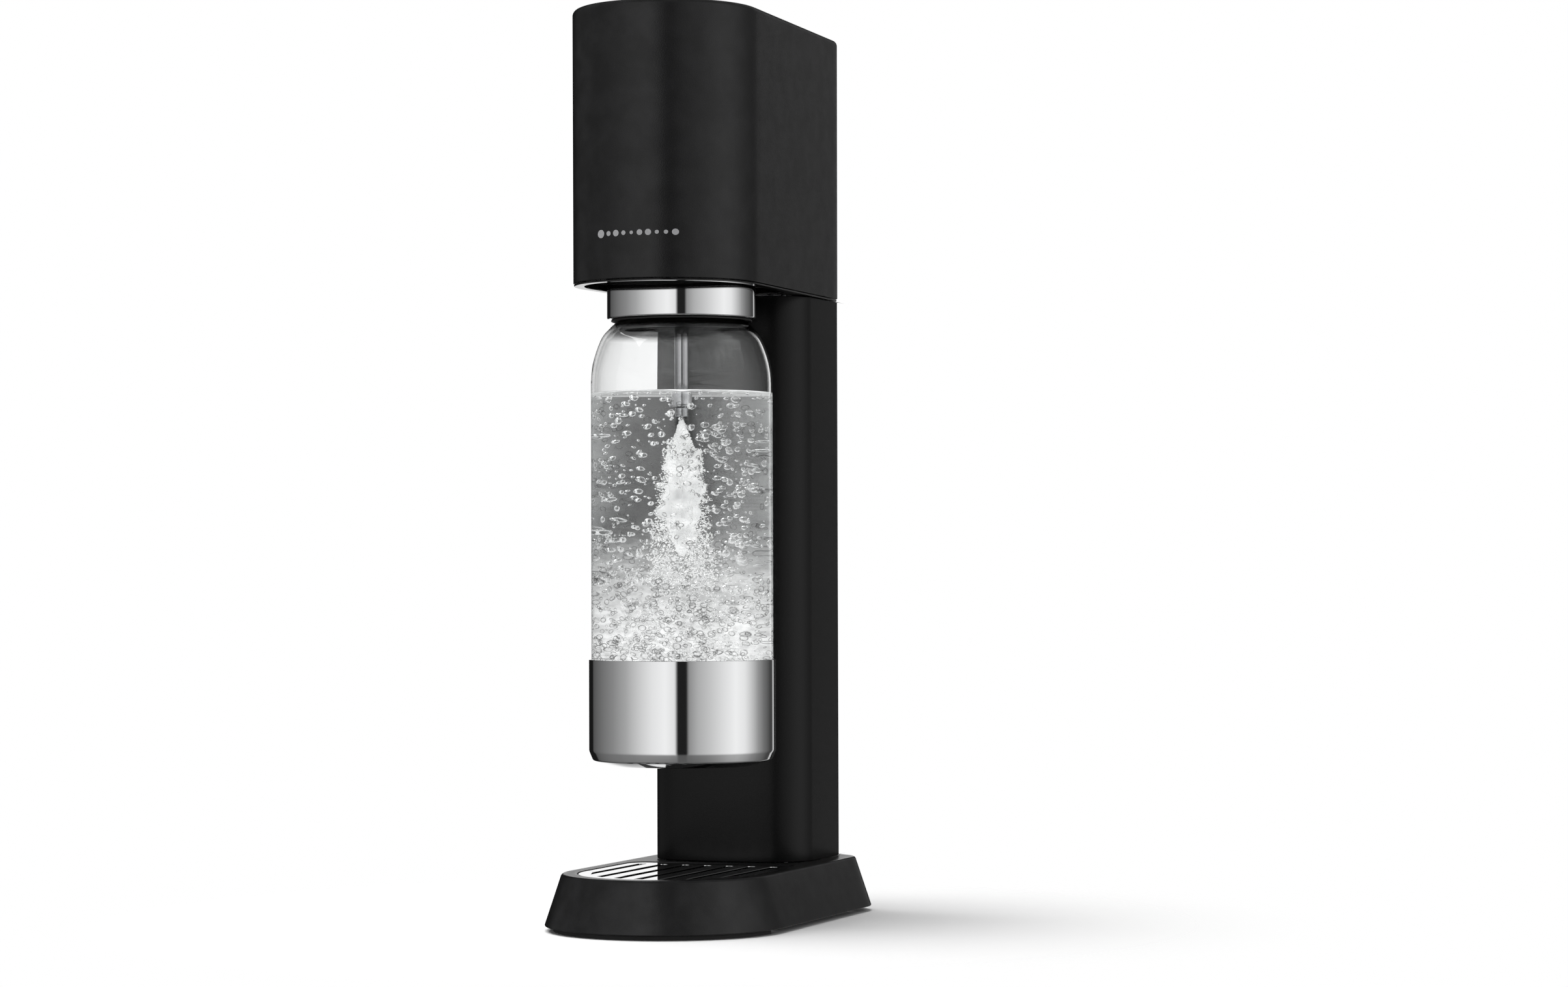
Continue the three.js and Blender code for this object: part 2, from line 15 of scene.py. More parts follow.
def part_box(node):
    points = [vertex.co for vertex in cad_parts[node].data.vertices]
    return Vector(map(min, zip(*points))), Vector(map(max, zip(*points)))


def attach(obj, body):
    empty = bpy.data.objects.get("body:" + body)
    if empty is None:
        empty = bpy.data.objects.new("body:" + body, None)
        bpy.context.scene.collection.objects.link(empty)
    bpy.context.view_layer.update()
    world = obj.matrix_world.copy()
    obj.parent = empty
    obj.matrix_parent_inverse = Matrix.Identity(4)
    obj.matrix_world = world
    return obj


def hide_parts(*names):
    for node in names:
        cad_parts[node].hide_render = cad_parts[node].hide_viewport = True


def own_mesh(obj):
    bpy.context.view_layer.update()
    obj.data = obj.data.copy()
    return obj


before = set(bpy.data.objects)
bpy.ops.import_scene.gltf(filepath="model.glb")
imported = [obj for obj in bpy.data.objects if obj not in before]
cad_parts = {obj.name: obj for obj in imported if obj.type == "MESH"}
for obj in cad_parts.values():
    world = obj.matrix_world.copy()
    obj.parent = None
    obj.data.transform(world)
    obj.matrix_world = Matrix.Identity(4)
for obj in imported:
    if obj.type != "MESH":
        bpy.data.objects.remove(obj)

MM = 0.001
PI = math.pi
scene = bpy.context.scene
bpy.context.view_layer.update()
bottle_low, bottle_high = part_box("bottle_body")
AXIS_Y = (bottle_low.y + bottle_high.y) / 2  # the upright bottle's axis stands at (0, AXIS_Y)


# %% Helpers for objects
def add_object(name, data):
    made = bpy.data.objects.new(name, data)
    scene.collection.objects.link(made)
    return made


def soften(mesh, degrees=35):
    """Shades smoothly, but keeps edges sharper than this angle."""
    mesh.shade_smooth()
    mesh.set_sharp_from_angle(angle=math.radians(degrees))


# %% [markdown]
# ## Camera
# The machine is seen from the front and a little from its right, with a long lens at about table
# height, so that its upright edges stay nearly upright. The camera is placed from the bottle's axis.

# %% Camera
VIEW_TURN = 0.353  # radians round the machine, towards +X
VIEW_TILT = 0.0200  # radians, upwards
VIEW_ROLL = -0.003
VIEW_DISTANCE = 1.8343
VIEW_HEIGHT = 0.16745
VIEW_SIDE = 0.04822  # how far the lens stands to the right of the line to the bottle
LENS_PER_WIDTH = 5954 / 2408  # focal length over frame width


def place_camera():
    right = Vector((math.cos(VIEW_TURN), math.sin(VIEW_TURN), 0))
    ahead = Vector((-math.sin(VIEW_TURN), math.cos(VIEW_TURN), 0))
    look = (ahead * math.cos(VIEW_TILT) + Vector((0, 0, math.sin(VIEW_TILT)))).normalized()
    up = right.cross(look)
    spot = Vector((0, AXIS_Y, VIEW_HEIGHT)) - ahead * VIEW_DISTANCE + right * VIEW_SIDE
    turn = Matrix((right, up, -look)).transposed().to_4x4()
    camera = add_object("camera", bpy.data.cameras.new("camera"))
    camera.matrix_world = Matrix.Translation(spot) @ turn @ Matrix.Rotation(VIEW_ROLL, 4, "Z")
    camera.data.lens = LENS_PER_WIDTH * camera.data.sensor_width
    camera.data.clip_end = 20
    scene.camera = camera
    return camera


camera = place_camera()
print("lens", round(camera.data.lens, 1), "mm")

# %% [markdown]
# ## Meshes from sections
# Nearly every moulded part here is one section carried round a plan. A section is a list of
# (inset, height) points, and a plan is a function that gives the outline for an inset. Rounding a
# section's corners first gives each edge the small radius that a moulded or polished part has. The
# points on those radii are marked in an attribute called wear, which the finishes use later.

# %% Outlines
ARC = 24  # steps in a quarter turn of a large outline


def arc(x, y, radius, start, end, steps):
    return [(x + radius * math.cos(start + (end - start) * i / steps),
             y + radius * math.sin(start + (end - start) * i / steps)) for i in range(steps + 1)]


def circle_plan(x, y, steps):
    return lambda radius: arc(x, y, radius, 0, 2 * PI, steps)[:-1]


def joined(*arcs):
    """The arcs in turn, with points along the straight stretches between them."""
    points = []
    for here, after in zip(arcs, arcs[1:] + arcs[:1]):
        (x0, y0), (x1, y1) = here[-1], after[0]
        points += here
        points += [(x0 + (x1 - x0) * k / ARC, y0 + (y1 - y0) * k / ARC) for k in range(1, ARC)]
    return points


def nose_plan(half_width, nose_y, rear_y, corner, taper=0.0):
    """A round nose, straight sides that close in by taper, and rounded rear corners."""
    def plan(inset):
        radius = half_width - inset
        turn = max(corner - inset, 0.5 * MM)
        turn_y = rear_y - inset - turn
        turn_x = (radius - turn - (turn_y - nose_y) * math.sin(taper)) / math.cos(taper)
        return joined(arc(turn_x, turn_y, turn, taper, PI / 2, ARC // 2),
                      arc(-turn_x, turn_y, turn, PI / 2, PI - taper, ARC // 2),
                      arc(0, nose_y, radius, PI - taper, 2 * PI + taper, ARC * 2))
    return plan


def rounded(path, radius, closed=False, steps=4):
    """The path with each corner turned into an arc: a list of (a, b, wear)."""
    made = []
    count = len(path)
    for i, point in enumerate(path):
        here = Vector(point[:2])
        size = point[2] if len(point) > 2 else radius
        if (not closed and i in (0, count - 1)) or size <= 0:
            made.append((here.x, here.y, 0.0))
            continue
        back = Vector(path[i - 1][:2]) - here
        on = Vector(path[(i + 1) % count][:2]) - here
        half = back.angle(on) / 2
        reach = min(size / math.tan(half), back.length * 0.45, on.length * 0.45)
        size = reach * math.tan(half)
        start = here + back.normalized() * reach
        end = here + on.normalized() * reach
        centre = here + (back.normalized() + on.normalized()).normalized() * size / math.sin(half)
        for k in range(steps + 1):
            spoke = (start - centre).slerp(end - centre, k / steps)
            spot = centre + spoke.normalized() * size
            made.append((spot.x, spot.y, 1.0))
    return made


# %% Meshes
def mesh_object(name, verts, faces, wear=None, smooth=35):
    mesh = bpy.data.meshes.new(name)
    mesh.from_pydata([tuple(v) for v in verts], [], faces)
    if wear is not None:
        mesh.attributes.new("wear", "FLOAT", "POINT").data.foreach_set("value", wear)
    work = bmesh.new()
    work.from_mesh(mesh)
    bmesh.ops.remove_doubles(work, verts=work.verts, dist=1e-7)
    bmesh.ops.recalc_face_normals(work, faces=work.faces)
    work.to_mesh(mesh)
    work.free()
    soften(mesh, smooth)
    return add_object(name, mesh)


def skin(name, loops, wear, closed=False, smooth=35):
    """Quads between loops of equal length. Closed joins the last loop to the first, and otherwise
    both ends get a flat cap, or meet in a point where the loop has shrunk to nothing."""
    count = len(loops[0])
    verts = [p for loop in loops for p in loop]
    faces = []
    for i in range(len(loops) if closed else len(loops) - 1):
        a, b = i * count, ((i + 1) % len(loops)) * count
        for k in range(count):
            n = (k + 1) % count
            faces.append((a + k, a + n, b + n, b + k))
    if not closed:
        faces.append(tuple(range(count)))
        faces.append(tuple(range((len(loops) - 1) * count, len(loops) * count)))
    return mesh_object(name, verts, faces, [w for w in wear for _ in range(count)], smooth)


def lift(points, z):
    return [(x, y, z) for x, y in points]


def wrap(name, plan, section, radius):
    """A section carried round a plan."""
    path = rounded(section, radius)
    return skin(name, [lift(plan(a), z) for a, z, _ in path], [w for *_, w in path])


def turned(name, x, y, profile, radius, closed=False, sides=96, smooth=35, steps=4):
    """A profile of (radius, height) points turned about an upright axis."""
    path = rounded(profile, radius, closed, steps)
    plan = circle_plan(x, y, sides)
    loops = [lift(plan(max(r, 1e-6)), z) for r, z, _ in path]
    return skin(name, loops, [w for *_, w in path], closed, smooth)


def bake(made):
    """Turns an object with modifiers, or a curve, into a plain mesh of the same name."""
    depsgraph = bpy.context.evaluated_depsgraph_get()
    mesh = bpy.data.meshes.new_from_object(made.evaluated_get(depsgraph), depsgraph=depsgraph)
    name = made.name
    bpy.data.objects.remove(made)
    mesh.name = name
    return add_object(name, mesh)


def board(name, outlines, z0, z1, edge):
    """A flat board between two heights with rounded edges: the first outline is its outside, and
    the others are holes in it."""
    curve = bpy.data.curves.new(name, "CURVE")
    curve.dimensions = "2D"
    curve.fill_mode = "BOTH"
    curve.extrude = (z1 - z0) / 2 - edge
    curve.bevel_depth = edge
    curve.bevel_resolution = 2
    curve.offset = -edge
    for outline in outlines:
        spline = curve.splines.new("POLY")
        spline.points.add(len(outline) - 1)
        for point, (x, y) in zip(spline.points, outline):
            point.co = (x, y, 0, 1)
        spline.use_cyclic_u = True
    made = bake(add_object(name, curve))
    made.data.transform(Matrix.Translation((0, 0, (z0 + z1) / 2)))
    soften(made.data)
    return made


def soft_block(name, low, high, edge):
    """A box with rounded edges."""
    work = bmesh.new()
    bmesh.ops.create_cube(work, size=1)
    size = Vector(high) - Vector(low)
    bmesh.ops.scale(work, vec=size, verts=work.verts)
    bmesh.ops.translate(work, vec=(Vector(low) + Vector(high)) / 2, verts=work.verts)
    bmesh.ops.bevel(work, geom=work.edges[:], offset=edge, segments=3, profile=0.5, affect="EDGES")
    mesh = bpy.data.meshes.new(name)
    work.to_mesh(mesh)
    work.free()
    soften(mesh, 40)
    return add_object(name, mesh)


# %% Hand a piece over to the frame
def give(piece, material, body, slot, *nodes):
    """Paints a finished piece, and says which body it rides on and which nodes it stands for."""
    piece.data.materials.clear()
    piece.data.materials.append(material)
    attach(piece, body)
    if nodes:
        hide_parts(*nodes)
    print(f"{piece.name}: {len(piece.data.polygons)} faces, rides on {body}")
    return piece


# %% [markdown]
# ## Effects that several finishes share
# Moulded plastic has a fine spark-eroded grain, handled edges are rubbed a little brighter and
# smoother, and every surface in a kitchen carries a trace of dust and wiping. Each effect is a node
# group with named inputs, so that a finish only has to say how much of it there is.

# %% Group helpers
def new_group(name, inputs, outputs):
    tree = bpy.data.node_groups.new(name, "ShaderNodeTree")
    for label, kind, value in inputs:
        socket = tree.interface.new_socket(name=label, in_out="INPUT", socket_type=kind)
        socket.default_value = value
    for label, kind in outputs:
        tree.interface.new_socket(name=label, in_out="OUTPUT", socket_type=kind)
    return tree, tree.nodes.new("NodeGroupInput"), tree.nodes.new("NodeGroupOutput")


def node(tree, kind, _inputs=None, **settings):
    made = tree.nodes.new(kind)
    for key, value in settings.items():
        setattr(made, key, value)
    for key, value in (_inputs or {}).items():
        if isinstance(value, bpy.types.NodeSocket):
            tree.links.new(value, made.inputs[key])
        else:
            made.inputs[key].default_value = value
    return made


def math_node(tree, operation, *values):
    return node(tree, "ShaderNodeMath", dict(enumerate(values)), operation=operation).outputs[0]


def map_range(tree, value, *limits, **settings):
    """The value carried from one range to another: from low, from high, to low, to high."""
    made = node(tree, "ShaderNodeMapRange", {0: value, **dict(enumerate(limits, 1))}, **settings)
    return made.outputs[0]


def mix_colors(tree, share, first, second, **settings):
    """Two colours mixed: a share of 0 gives the first and 1 the second."""
    made = node(tree, "ShaderNodeMix", {0: share, 6: first, 7: second}, data_type="RGBA", **settings)
    return made.outputs[2]


def object_point(tree):
    return node(tree, "ShaderNodeTexCoord").outputs["Object"]


def clouds(tree, scale, detail=2.0, roughness=0.5, at=None):
    """Noise over the object's own points, or over the points given."""
    at = object_point(tree) if at is None else at
    return node(tree, "ShaderNodeTexNoise", {"Vector": at, "Scale": scale, "Detail": detail,
                                             "Roughness": roughness}).outputs[0]


def grey(value):
    return (value, value, value, 1)


FLOAT = "NodeSocketFloat"


# %% Grain: a fine raised texture
def grain_group():
    tree, given, result = new_group(
        "grain", [("Size", FLOAT, 0.0006), ("Spread", FLOAT, 0.5)],
        [("Height", FLOAT), ("Speckle", FLOAT)])
    where = object_point(tree)
    scale = math_node(tree, "DIVIDE", 1.0, given.outputs["Size"])
    fine = clouds(tree, scale, 3.0, 0.6, where)
    cells = node(tree, "ShaderNodeTexVoronoi", {"Vector": where, "Scale": scale})
    both = node(tree, "ShaderNodeMix", {0: given.outputs["Spread"], 2: fine,
                                        3: cells.outputs["Distance"]})
    tree.links.new(both.outputs[0], result.inputs["Height"])
    tree.links.new(fine, result.inputs["Speckle"])
    return tree


# %% Rubbed edges
def wear_group():
    tree, given, result = new_group(
        "rubbed_edges", [("Amount", FLOAT, 0.5), ("Patch Size", FLOAT, 0.01)], [("Mask", FLOAT)])
    marked = node(tree, "ShaderNodeAttribute", attribute_name="wear")
    patch = clouds(tree, math_node(tree, "DIVIDE", 1.0, given.outputs["Patch Size"]), 4.0)
    kept = map_range(tree, patch, 0.35, 0.7, 0.3, 1.0)
    both = math_node(tree, "MULTIPLY", marked.outputs["Fac"], kept)
    out = math_node(tree, "MULTIPLY", both, given.outputs["Amount"])
    tree.links.new(out, result.inputs["Mask"])
    return tree


# %% Dust and wiping marks
def dust_group():
    tree, given, result = new_group(
        "dust", [("Amount", FLOAT, 0.2), ("Size", FLOAT, 0.02)], [("Mask", FLOAT)])
    cloud = clouds(tree, math_node(tree, "DIVIDE", 1.0, given.outputs["Size"]), 6.0, 0.65)
    up = node(tree, "ShaderNodeNewGeometry").outputs["Normal"]
    level = map_range(tree, node(tree, "ShaderNodeSeparateXYZ", {0: up}).outputs[2],
                      0.2, 1.0, 0.35, 1.0)
    both = math_node(tree, "MULTIPLY", level, map_range(tree, cloud, 0.4, 0.75))
    out = math_node(tree, "MULTIPLY", both, given.outputs["Amount"])
    tree.links.new(out, result.inputs["Mask"])
    return tree


GRAIN, WEAR, DUST = grain_group(), wear_group(), dust_group()
print("shared effects:", GRAIN.name, WEAR.name, DUST.name)

# %% [markdown]
# ## Finishes
# One function mixes a base colour with the shared effects, and each finish then says its own colour,
# roughness and grain. Clear parts have their own short functions.


# %% A new material
def new_material(name, values):
    """A material whose shader has these plain values on its own sockets."""
    material = bpy.data.materials.new(name)
    material.use_nodes = True
    shader = material.node_tree.nodes["Principled BSDF"]
    for label, value in values.items():
        shader.inputs[label].default_value = value
    return material, material.node_tree, shader


# %% A finish from the shared effects
DUST_COLOR = (0.32, 0.31, 0.30, 1)


def finish(name, color, rough, metal=0.0, grain=0.0, grain_size=0.0006, wear=0.0, wear_color=None,
           dust=0.1, spread=0.08, coat=0.0, specular=0.5):
    material, tree, shader = new_material(name, {
        "Metallic": metal, "Specular IOR Level": specular, "Coat Weight": coat,
        "Coat Roughness": 0.08})
    texture = node(tree, "ShaderNodeGroup", node_tree=GRAIN)
    texture.inputs["Size"].default_value = grain_size
    rubbed = node(tree, "ShaderNodeGroup", node_tree=WEAR)
    rubbed.inputs["Amount"].default_value = wear
    dusty = node(tree, "ShaderNodeGroup", node_tree=DUST)
    dusty.inputs["Amount"].default_value = dust
    worn = wear_color or [min(1, c * 2.5 + 0.02) for c in color]
    varied = map_range(tree, texture.outputs["Speckle"], 0.3, 0.7, 1 - spread, 1 + spread)
    base = mix_colors(tree, 1.0, (*color, 1), varied, blend_type="MULTIPLY")
    edge = mix_colors(tree, rubbed.outputs["Mask"], base, (*worn, 1))
    top = mix_colors(tree, dusty.outputs["Mask"], edge, DUST_COLOR)
    tree.links.new(top, shader.inputs["Base Color"])
    dulled = map_range(tree, dusty.outputs["Mask"], 0.0, 1.0, rough, min(1, rough + 0.35))
    smoother = math_node(tree, "MULTIPLY", rubbed.outputs["Mask"], rough * 0.35)
    tree.links.new(math_node(tree, "SUBTRACT", dulled, smoother), shader.inputs["Roughness"])
    if grain:
        bump = node(tree, "ShaderNodeBump", {"Strength": grain, "Distance": grain_size * 0.25,
                                             "Height": texture.outputs["Height"]})
        tree.links.new(bump.outputs[0], shader.inputs["Normal"])
    return material


# %% The opaque finishes
satin_black = finish("satin_black", (0.0022, 0.0022, 0.0023), 0.34, grain=0.3, wear=0.5,
                     wear_color=(0.02, 0.02, 0.021), dust=0.004, spread=0.3, specular=0.36)
inner_black = finish("inner_black", (0.004, 0.004, 0.0042), 0.5, grain=0.3, dust=0.01)
gloss_black = finish("gloss_black", (0.003, 0.003, 0.003), 0.10, dust=0.004, spread=0.0,
                     specular=0.6)
# A darker, less glossy copy of satin_black for the column and rear cover: painted shade.
column_black = finish("column_black", (0.0018, 0.0018, 0.0019), 0.36, grain=0.3, wear=0.4,
                      wear_color=(0.015, 0.015, 0.016), dust=0.003, spread=0.3, specular=0.26)
chrome = finish("chrome", (0.85, 0.855, 0.86), 0.05, metal=1.0, dust=0.004, spread=0.0,
                grain_size=0.004)
pipe_grey = finish("pipe_grey", (0.50, 0.50, 0.51), 0.12, metal=1.0, dust=0.01, spread=0.0)
rubber = finish("rubber", (0.012, 0.012, 0.012), 0.75, grain=0.6, grain_size=0.0004, dust=0.08)
steel = finish("steel", (0.52, 0.53, 0.54), 0.32, metal=1.0, grain=0.25, grain_size=0.0012,
               wear=0.2, dust=0.05)
brass = finish("brass", (0.62, 0.46, 0.20), 0.28, metal=1.0, grain=0.2, grain_size=0.001,
               wear=0.3, dust=0.05)
white_plastic = finish("white_plastic", (0.75, 0.75, 0.73), 0.4, grain=0.2, dust=0.05)
print("finishes:", [m.name for m in bpy.data.materials if m.users == 0][:12])


# %% Clear finishes
PLASTIC_TINT = (0.985, 0.99, 0.99)
NECK_DIM_START, NECK_DIM_END = 278 * MM, 282.5 * MM
HAZE_TOP, HAZE_BOTTOM = 200 * MM, 125 * MM


def object_height(tree):
    return node(tree, "ShaderNodeSeparateXYZ", {0: object_point(tree)}).outputs[2]


def clear(name, color, ior):
    """A clear body: plain transmission, with a trace of roughness that varies like handled plastic."""
    material, tree, shader = new_material(name, {
        "Base Color": (*color, 1), "Transmission Weight": 1.0, "IOR": ior})
    handled = map_range(tree, clouds(tree, 40.0, 4.0), 0.4, 0.8, 0.0, 0.015)
    tree.links.new(handled, shader.inputs["Roughness"])
    return material


def add_painted_haze_glow(material, top_glow, bottom_glow):
    """Bubbles too small to see scatter a little light, which is drawn as painted glow: an emission
    on the water. It is added where the body's far side is seen from within, so that the bubbles in
    front keep their dark outlines. The painted glow depends on the side that it is seen from."""
    tree = material.node_tree
    shader = tree.nodes["Principled BSDF"]
    height = object_height(tree)
    level = map_range(tree, height, HAZE_TOP, HAZE_BOTTOM, top_glow, bottom_glow)
    streaks = node(tree, "ShaderNodeMapping", {"Vector": object_point(tree),
                                               "Scale": (30.0, 30.0, 45.0)})
    patch = map_range(tree, clouds(tree, 1.0, 5.0, 0.6, streaks.outputs[0]), 0.35, 0.7, 0.4, 1.6)
    glow = math_node(tree, "MULTIPLY", level, patch)
    depth = map_range(tree, height, HAZE_TOP, HAZE_BOTTOM, 0.04, 0.7)
    side = node(tree, "ShaderNodeLayerWeight", {"Blend": 0.5})
    more = map_range(tree, side.outputs["Facing"], 0.0, 0.24, depth, 1.25)
    far = node(tree, "ShaderNodeNewGeometry").outputs["Backfacing"]
    seen = math_node(tree, "MULTIPLY", math_node(tree, "MULTIPLY", glow, more), far)
    tree.links.new(seen, shader.inputs["Emission Color"])
    shader.inputs["Emission Strength"].default_value = 1.0


def shade_neck(material):
    """Painted shade of the collar in the clear wall: the base colour darkens upwards through the neck.
    """
    tree = material.node_tree
    depth = map_range(tree, object_height(tree), NECK_DIM_START, NECK_DIM_END)
    painted_collar_shade = mix_colors(tree, depth, (*PLASTIC_TINT, 1), grey(0.12))
    tree.links.new(painted_collar_shade, tree.nodes["Principled BSDF"].inputs["Base Color"])


bottle_clear = clear("clear_plastic", PLASTIC_TINT, 1.50)
shade_neck(bottle_clear)
water_clear = clear("water", (0.97, 0.985, 0.985), 1.333)
# The water's haze is painted glow: an emission in its material.
add_painted_haze_glow(water_clear, 0.30, 0.14)
bubble_clear = clear("bubble", (1.0, 1.0, 1.0), 0.76)


# %% Foam
def foam(name, centre, rim, glow, alpha):
    """Tiny bubbles packed so close that light scatters between them: each one has a painted glow, an
    emission, in its middle and a painted darker outline, which follows the side that it is seen from."""
    material, tree, shader = new_material(name, {
        "Roughness": 0.25, "Emission Strength": glow, "Alpha": alpha})
    edge = node(tree, "ShaderNodeLayerWeight", {"Blend": 0.5})
    outline = map_range(tree, edge.outputs["Facing"], 0.45, 0.85)
    light = map_range(tree, clouds(tree, 160.0, 3.0), 0.3, 0.7, 0.75, 1.0)
    # Painted dark outline, by the side the bubble is seen from; the same colour feeds the painted glow.
    body = mix_colors(tree, outline, grey(centre), grey(rim))
    shade = mix_colors(tree, 1.0, body, light, blend_type="MULTIPLY")
    tree.links.new(shade, shader.inputs["Base Color"])
    tree.links.new(shade, shader.inputs["Emission Color"])
    return material


foam_white_painted_glow = foam("foam", 0.88, 0.36, 0.56, 1.0)
foam_bubble = foam("foam_bubble", 0.82, 0.08, 0.50, 0.5)


# %% Outlined bubbles
def painted_outline_bubble(name):
    """A bubble in front of bright foam: clear in the middle, with a painted dark outline where its edge
    turns away from the side that it is seen from."""
    material, tree, shader = new_material(name, {"Roughness": 0.1})
    edge = node(tree, "ShaderNodeLayerWeight", {"Blend": 0.5})
    outline = map_range(tree, edge.outputs["Facing"], 0.2, 0.65, 0.0, 0.85)
    cloud = clouds(tree, 600.0)
    line = math_node(tree, "MULTIPLY", outline, map_range(tree, cloud, 0.35, 0.6))
    tree.links.new(line, shader.inputs["Alpha"])
    shade = mix_colors(tree, cloud, grey(0.01), grey(0.10))
    tree.links.new(shade, shader.inputs["Base Color"])
    return material


bubble_outline = painted_outline_bubble("bubble_outline")

# %% Mist
MIST_TOP, MIST_FULL = 198 * MM, 130 * MM
MIST_PUSH = 45 * MM  # how far its patches reach up and down


def mist(name, glow):
    """The mass of bubbles low in the bottle, a painted glow on the far inside of a thin curtain: it
    thins out upwards in patches, and the side of the curtain that faces the viewer is left out."""
    material, tree, shader = new_material(name, {
        "Roughness": 0.9, "Base Color": grey(0.25), "Emission Strength": glow})
    flat = node(tree, "ShaderNodeMapping", {"Vector": object_point(tree),
                                            "Scale": (45.0, 45.0, 110.0)})
    cloud = clouds(tree, 1.0, 6.0, 0.65, flat.outputs[0])
    edge = math_node(tree, "MULTIPLY_ADD", cloud, MIST_PUSH, object_height(tree))
    depth = map_range(tree, edge, MIST_TOP + MIST_PUSH / 2, MIST_FULL + MIST_PUSH / 2,
                      interpolation_type="SMOOTHSTEP")
    near = node(tree, "ShaderNodeNewGeometry").outputs["Backfacing"]
    tree.links.new(math_node(tree, "MULTIPLY", depth, near), shader.inputs["Alpha"])
    light = map_range(tree, clouds(tree, 420.0, 3.0), 0.35, 0.65, 0.62, 1.0)
    tree.links.new(light, shader.inputs["Emission Color"])
    return material


bottle_mist = mist("bottle_mist", 0.92)

# %% [markdown]
# ## Base
# The base is one moulding: its wall flares outwards to the foot, its top is a flat deck, and the
# deck has a recess with a rounded front that holds the drip tray. The wall follows the base's own
# plan and the recess another, with the same number of points, so one skin can run from the wall over
# the deck and down into the recess.

# %% Base plans
base_low, base_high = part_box("base_housing")
tray_low, tray_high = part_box("drip_tray")
grille_low, grille_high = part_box("drip_grille")
FLARE = 8.1 * MM
BASE_CORNER = 26 * MM
RECESS_CORNER = 8 * MM
FIT = 0.3 * MM
base_half = base_high.x
nose_y = base_low.y + base_half
base_plan = nose_plan(base_half, nose_y, base_high.y, BASE_CORNER)
recess_plan = nose_plan(tray_high.x + FIT, nose_y, tray_high.y + FIT, RECESS_CORNER)


# %% Base housing
def base_housing():
    z0, z1 = base_low.z, base_high.z
    sole = tray_low.z - FIT
    wall = [(3.6 * MM, z0 + 2.5 * MM, 0), (2.8 * MM, z0, 0.3 * MM), (0, z0, 0.5 * MM),
            (FLARE, z1, 1.6 * MM), (FLARE + 3.4 * MM, z1, 0)]
    outside = rounded(wall, 0.5 * MM, steps=5)
    inside = rounded([(-2.0 * MM, z1, 0), (0, z1, 0.7 * MM), (0, sole, 0.6 * MM),
                      (3 * MM, sole, 0)], 0.5 * MM)
    loops = [lift(base_plan(a), z) for a, z, _ in outside]
    loops += [lift(recess_plan(a), z) for a, z, _ in inside]
    return skin("base_housing_skin", loops, [w for *_, w in outside + inside])


give(base_housing(), satin_black, "frame", "satin_black", "base_housing")

# %% Feet and bottom plate
foot_low, foot_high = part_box("front_foot")
FOOT_BAND = 10.5 * MM


def front_foot():
    reach = foot_high.x
    end = math.asin((foot_high.y - nose_y) / reach)
    outer = arc(0, nose_y, reach, PI - end, 2 * PI + end, 64)
    inner_reach = reach - FOOT_BAND
    end = math.asin((foot_high.y - nose_y) / inner_reach)
    inner = arc(0, nose_y, inner_reach, 2 * PI + end, PI - end, 64)
    return board("front_foot_pad", [outer + inner], foot_low.z, foot_high.z, 0.4 * MM)


give(front_foot(), rubber, "frame", "rubber", "front_foot")
for side in ("left", "right"):
    low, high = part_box(f"rear_foot_{side}")
    middle = (low + high) / 2
    pad = turned(f"rear_foot_pad_{side}", middle.x, middle.y, [
        (0, low.z), (high.x - middle.x, low.z), (high.x - middle.x, high.z), (0, high.z)], 0.5 * MM)
    give(pad, rubber, "frame", "rubber", f"rear_foot_{side}")

# %% [markdown]
# ## Drip tray and grille
# The tray is a plain moulded dish. The grille over it is a polished plate with a row of long slots.
# The slots repeat at a fixed pitch, so a geometry nodes tree makes them: it lines up slot outlines,
# fills the plate's outline with the slots left open, gives the sheet its thickness and runs a fine
# rounded lip round every cut edge.

# %% Drip tray
give(wrap("drip_tray_dish", recess_plan, [
    (5 * MM, tray_low.z + 1.6 * MM, 0), (1.7 * MM, tray_low.z + 1.6 * MM, 1.2 * MM),
    (1.7 * MM, tray_high.z, 0.4 * MM), (FIT, tray_high.z, 0.4 * MM), (FIT, tray_low.z, 1 * MM),
    (5 * MM, tray_low.z, 0)], 0.5 * MM), satin_black, "tray", "satin_black", "drip_tray")


# %% Geometry nodes helpers
def geometry_tree(name, inputs):
    tree = bpy.data.node_groups.new(name, "GeometryNodeTree")
    tree.interface.new_socket(name="Geometry", in_out="INPUT", socket_type="NodeSocketGeometry")
    for label, kind, value in inputs:
        socket = tree.interface.new_socket(name=label, in_out="INPUT", socket_type=kind)
        if value is not None:
            socket.default_value = value
    tree.interface.new_socket(name="Geometry", in_out="OUTPUT", socket_type="NodeSocketGeometry")
    return tree, tree.nodes.new("NodeGroupInput"), tree.nodes.new("NodeGroupOutput")


def run_tree(made, tree, values):
    """Sets the tree's inputs by identifier, runs it on the object and bakes the result."""
    modifier = made.modifiers.new(tree.name, "NODES")
    modifier.node_group = tree
    for item in tree.interface.items_tree:
        if item.in_out == "INPUT" and item.name in values:
            modifier[item.identifier] = values[item.name]
    return bake(made)


INT = "NodeSocketInt"
MATERIAL = "NodeSocketMaterial"


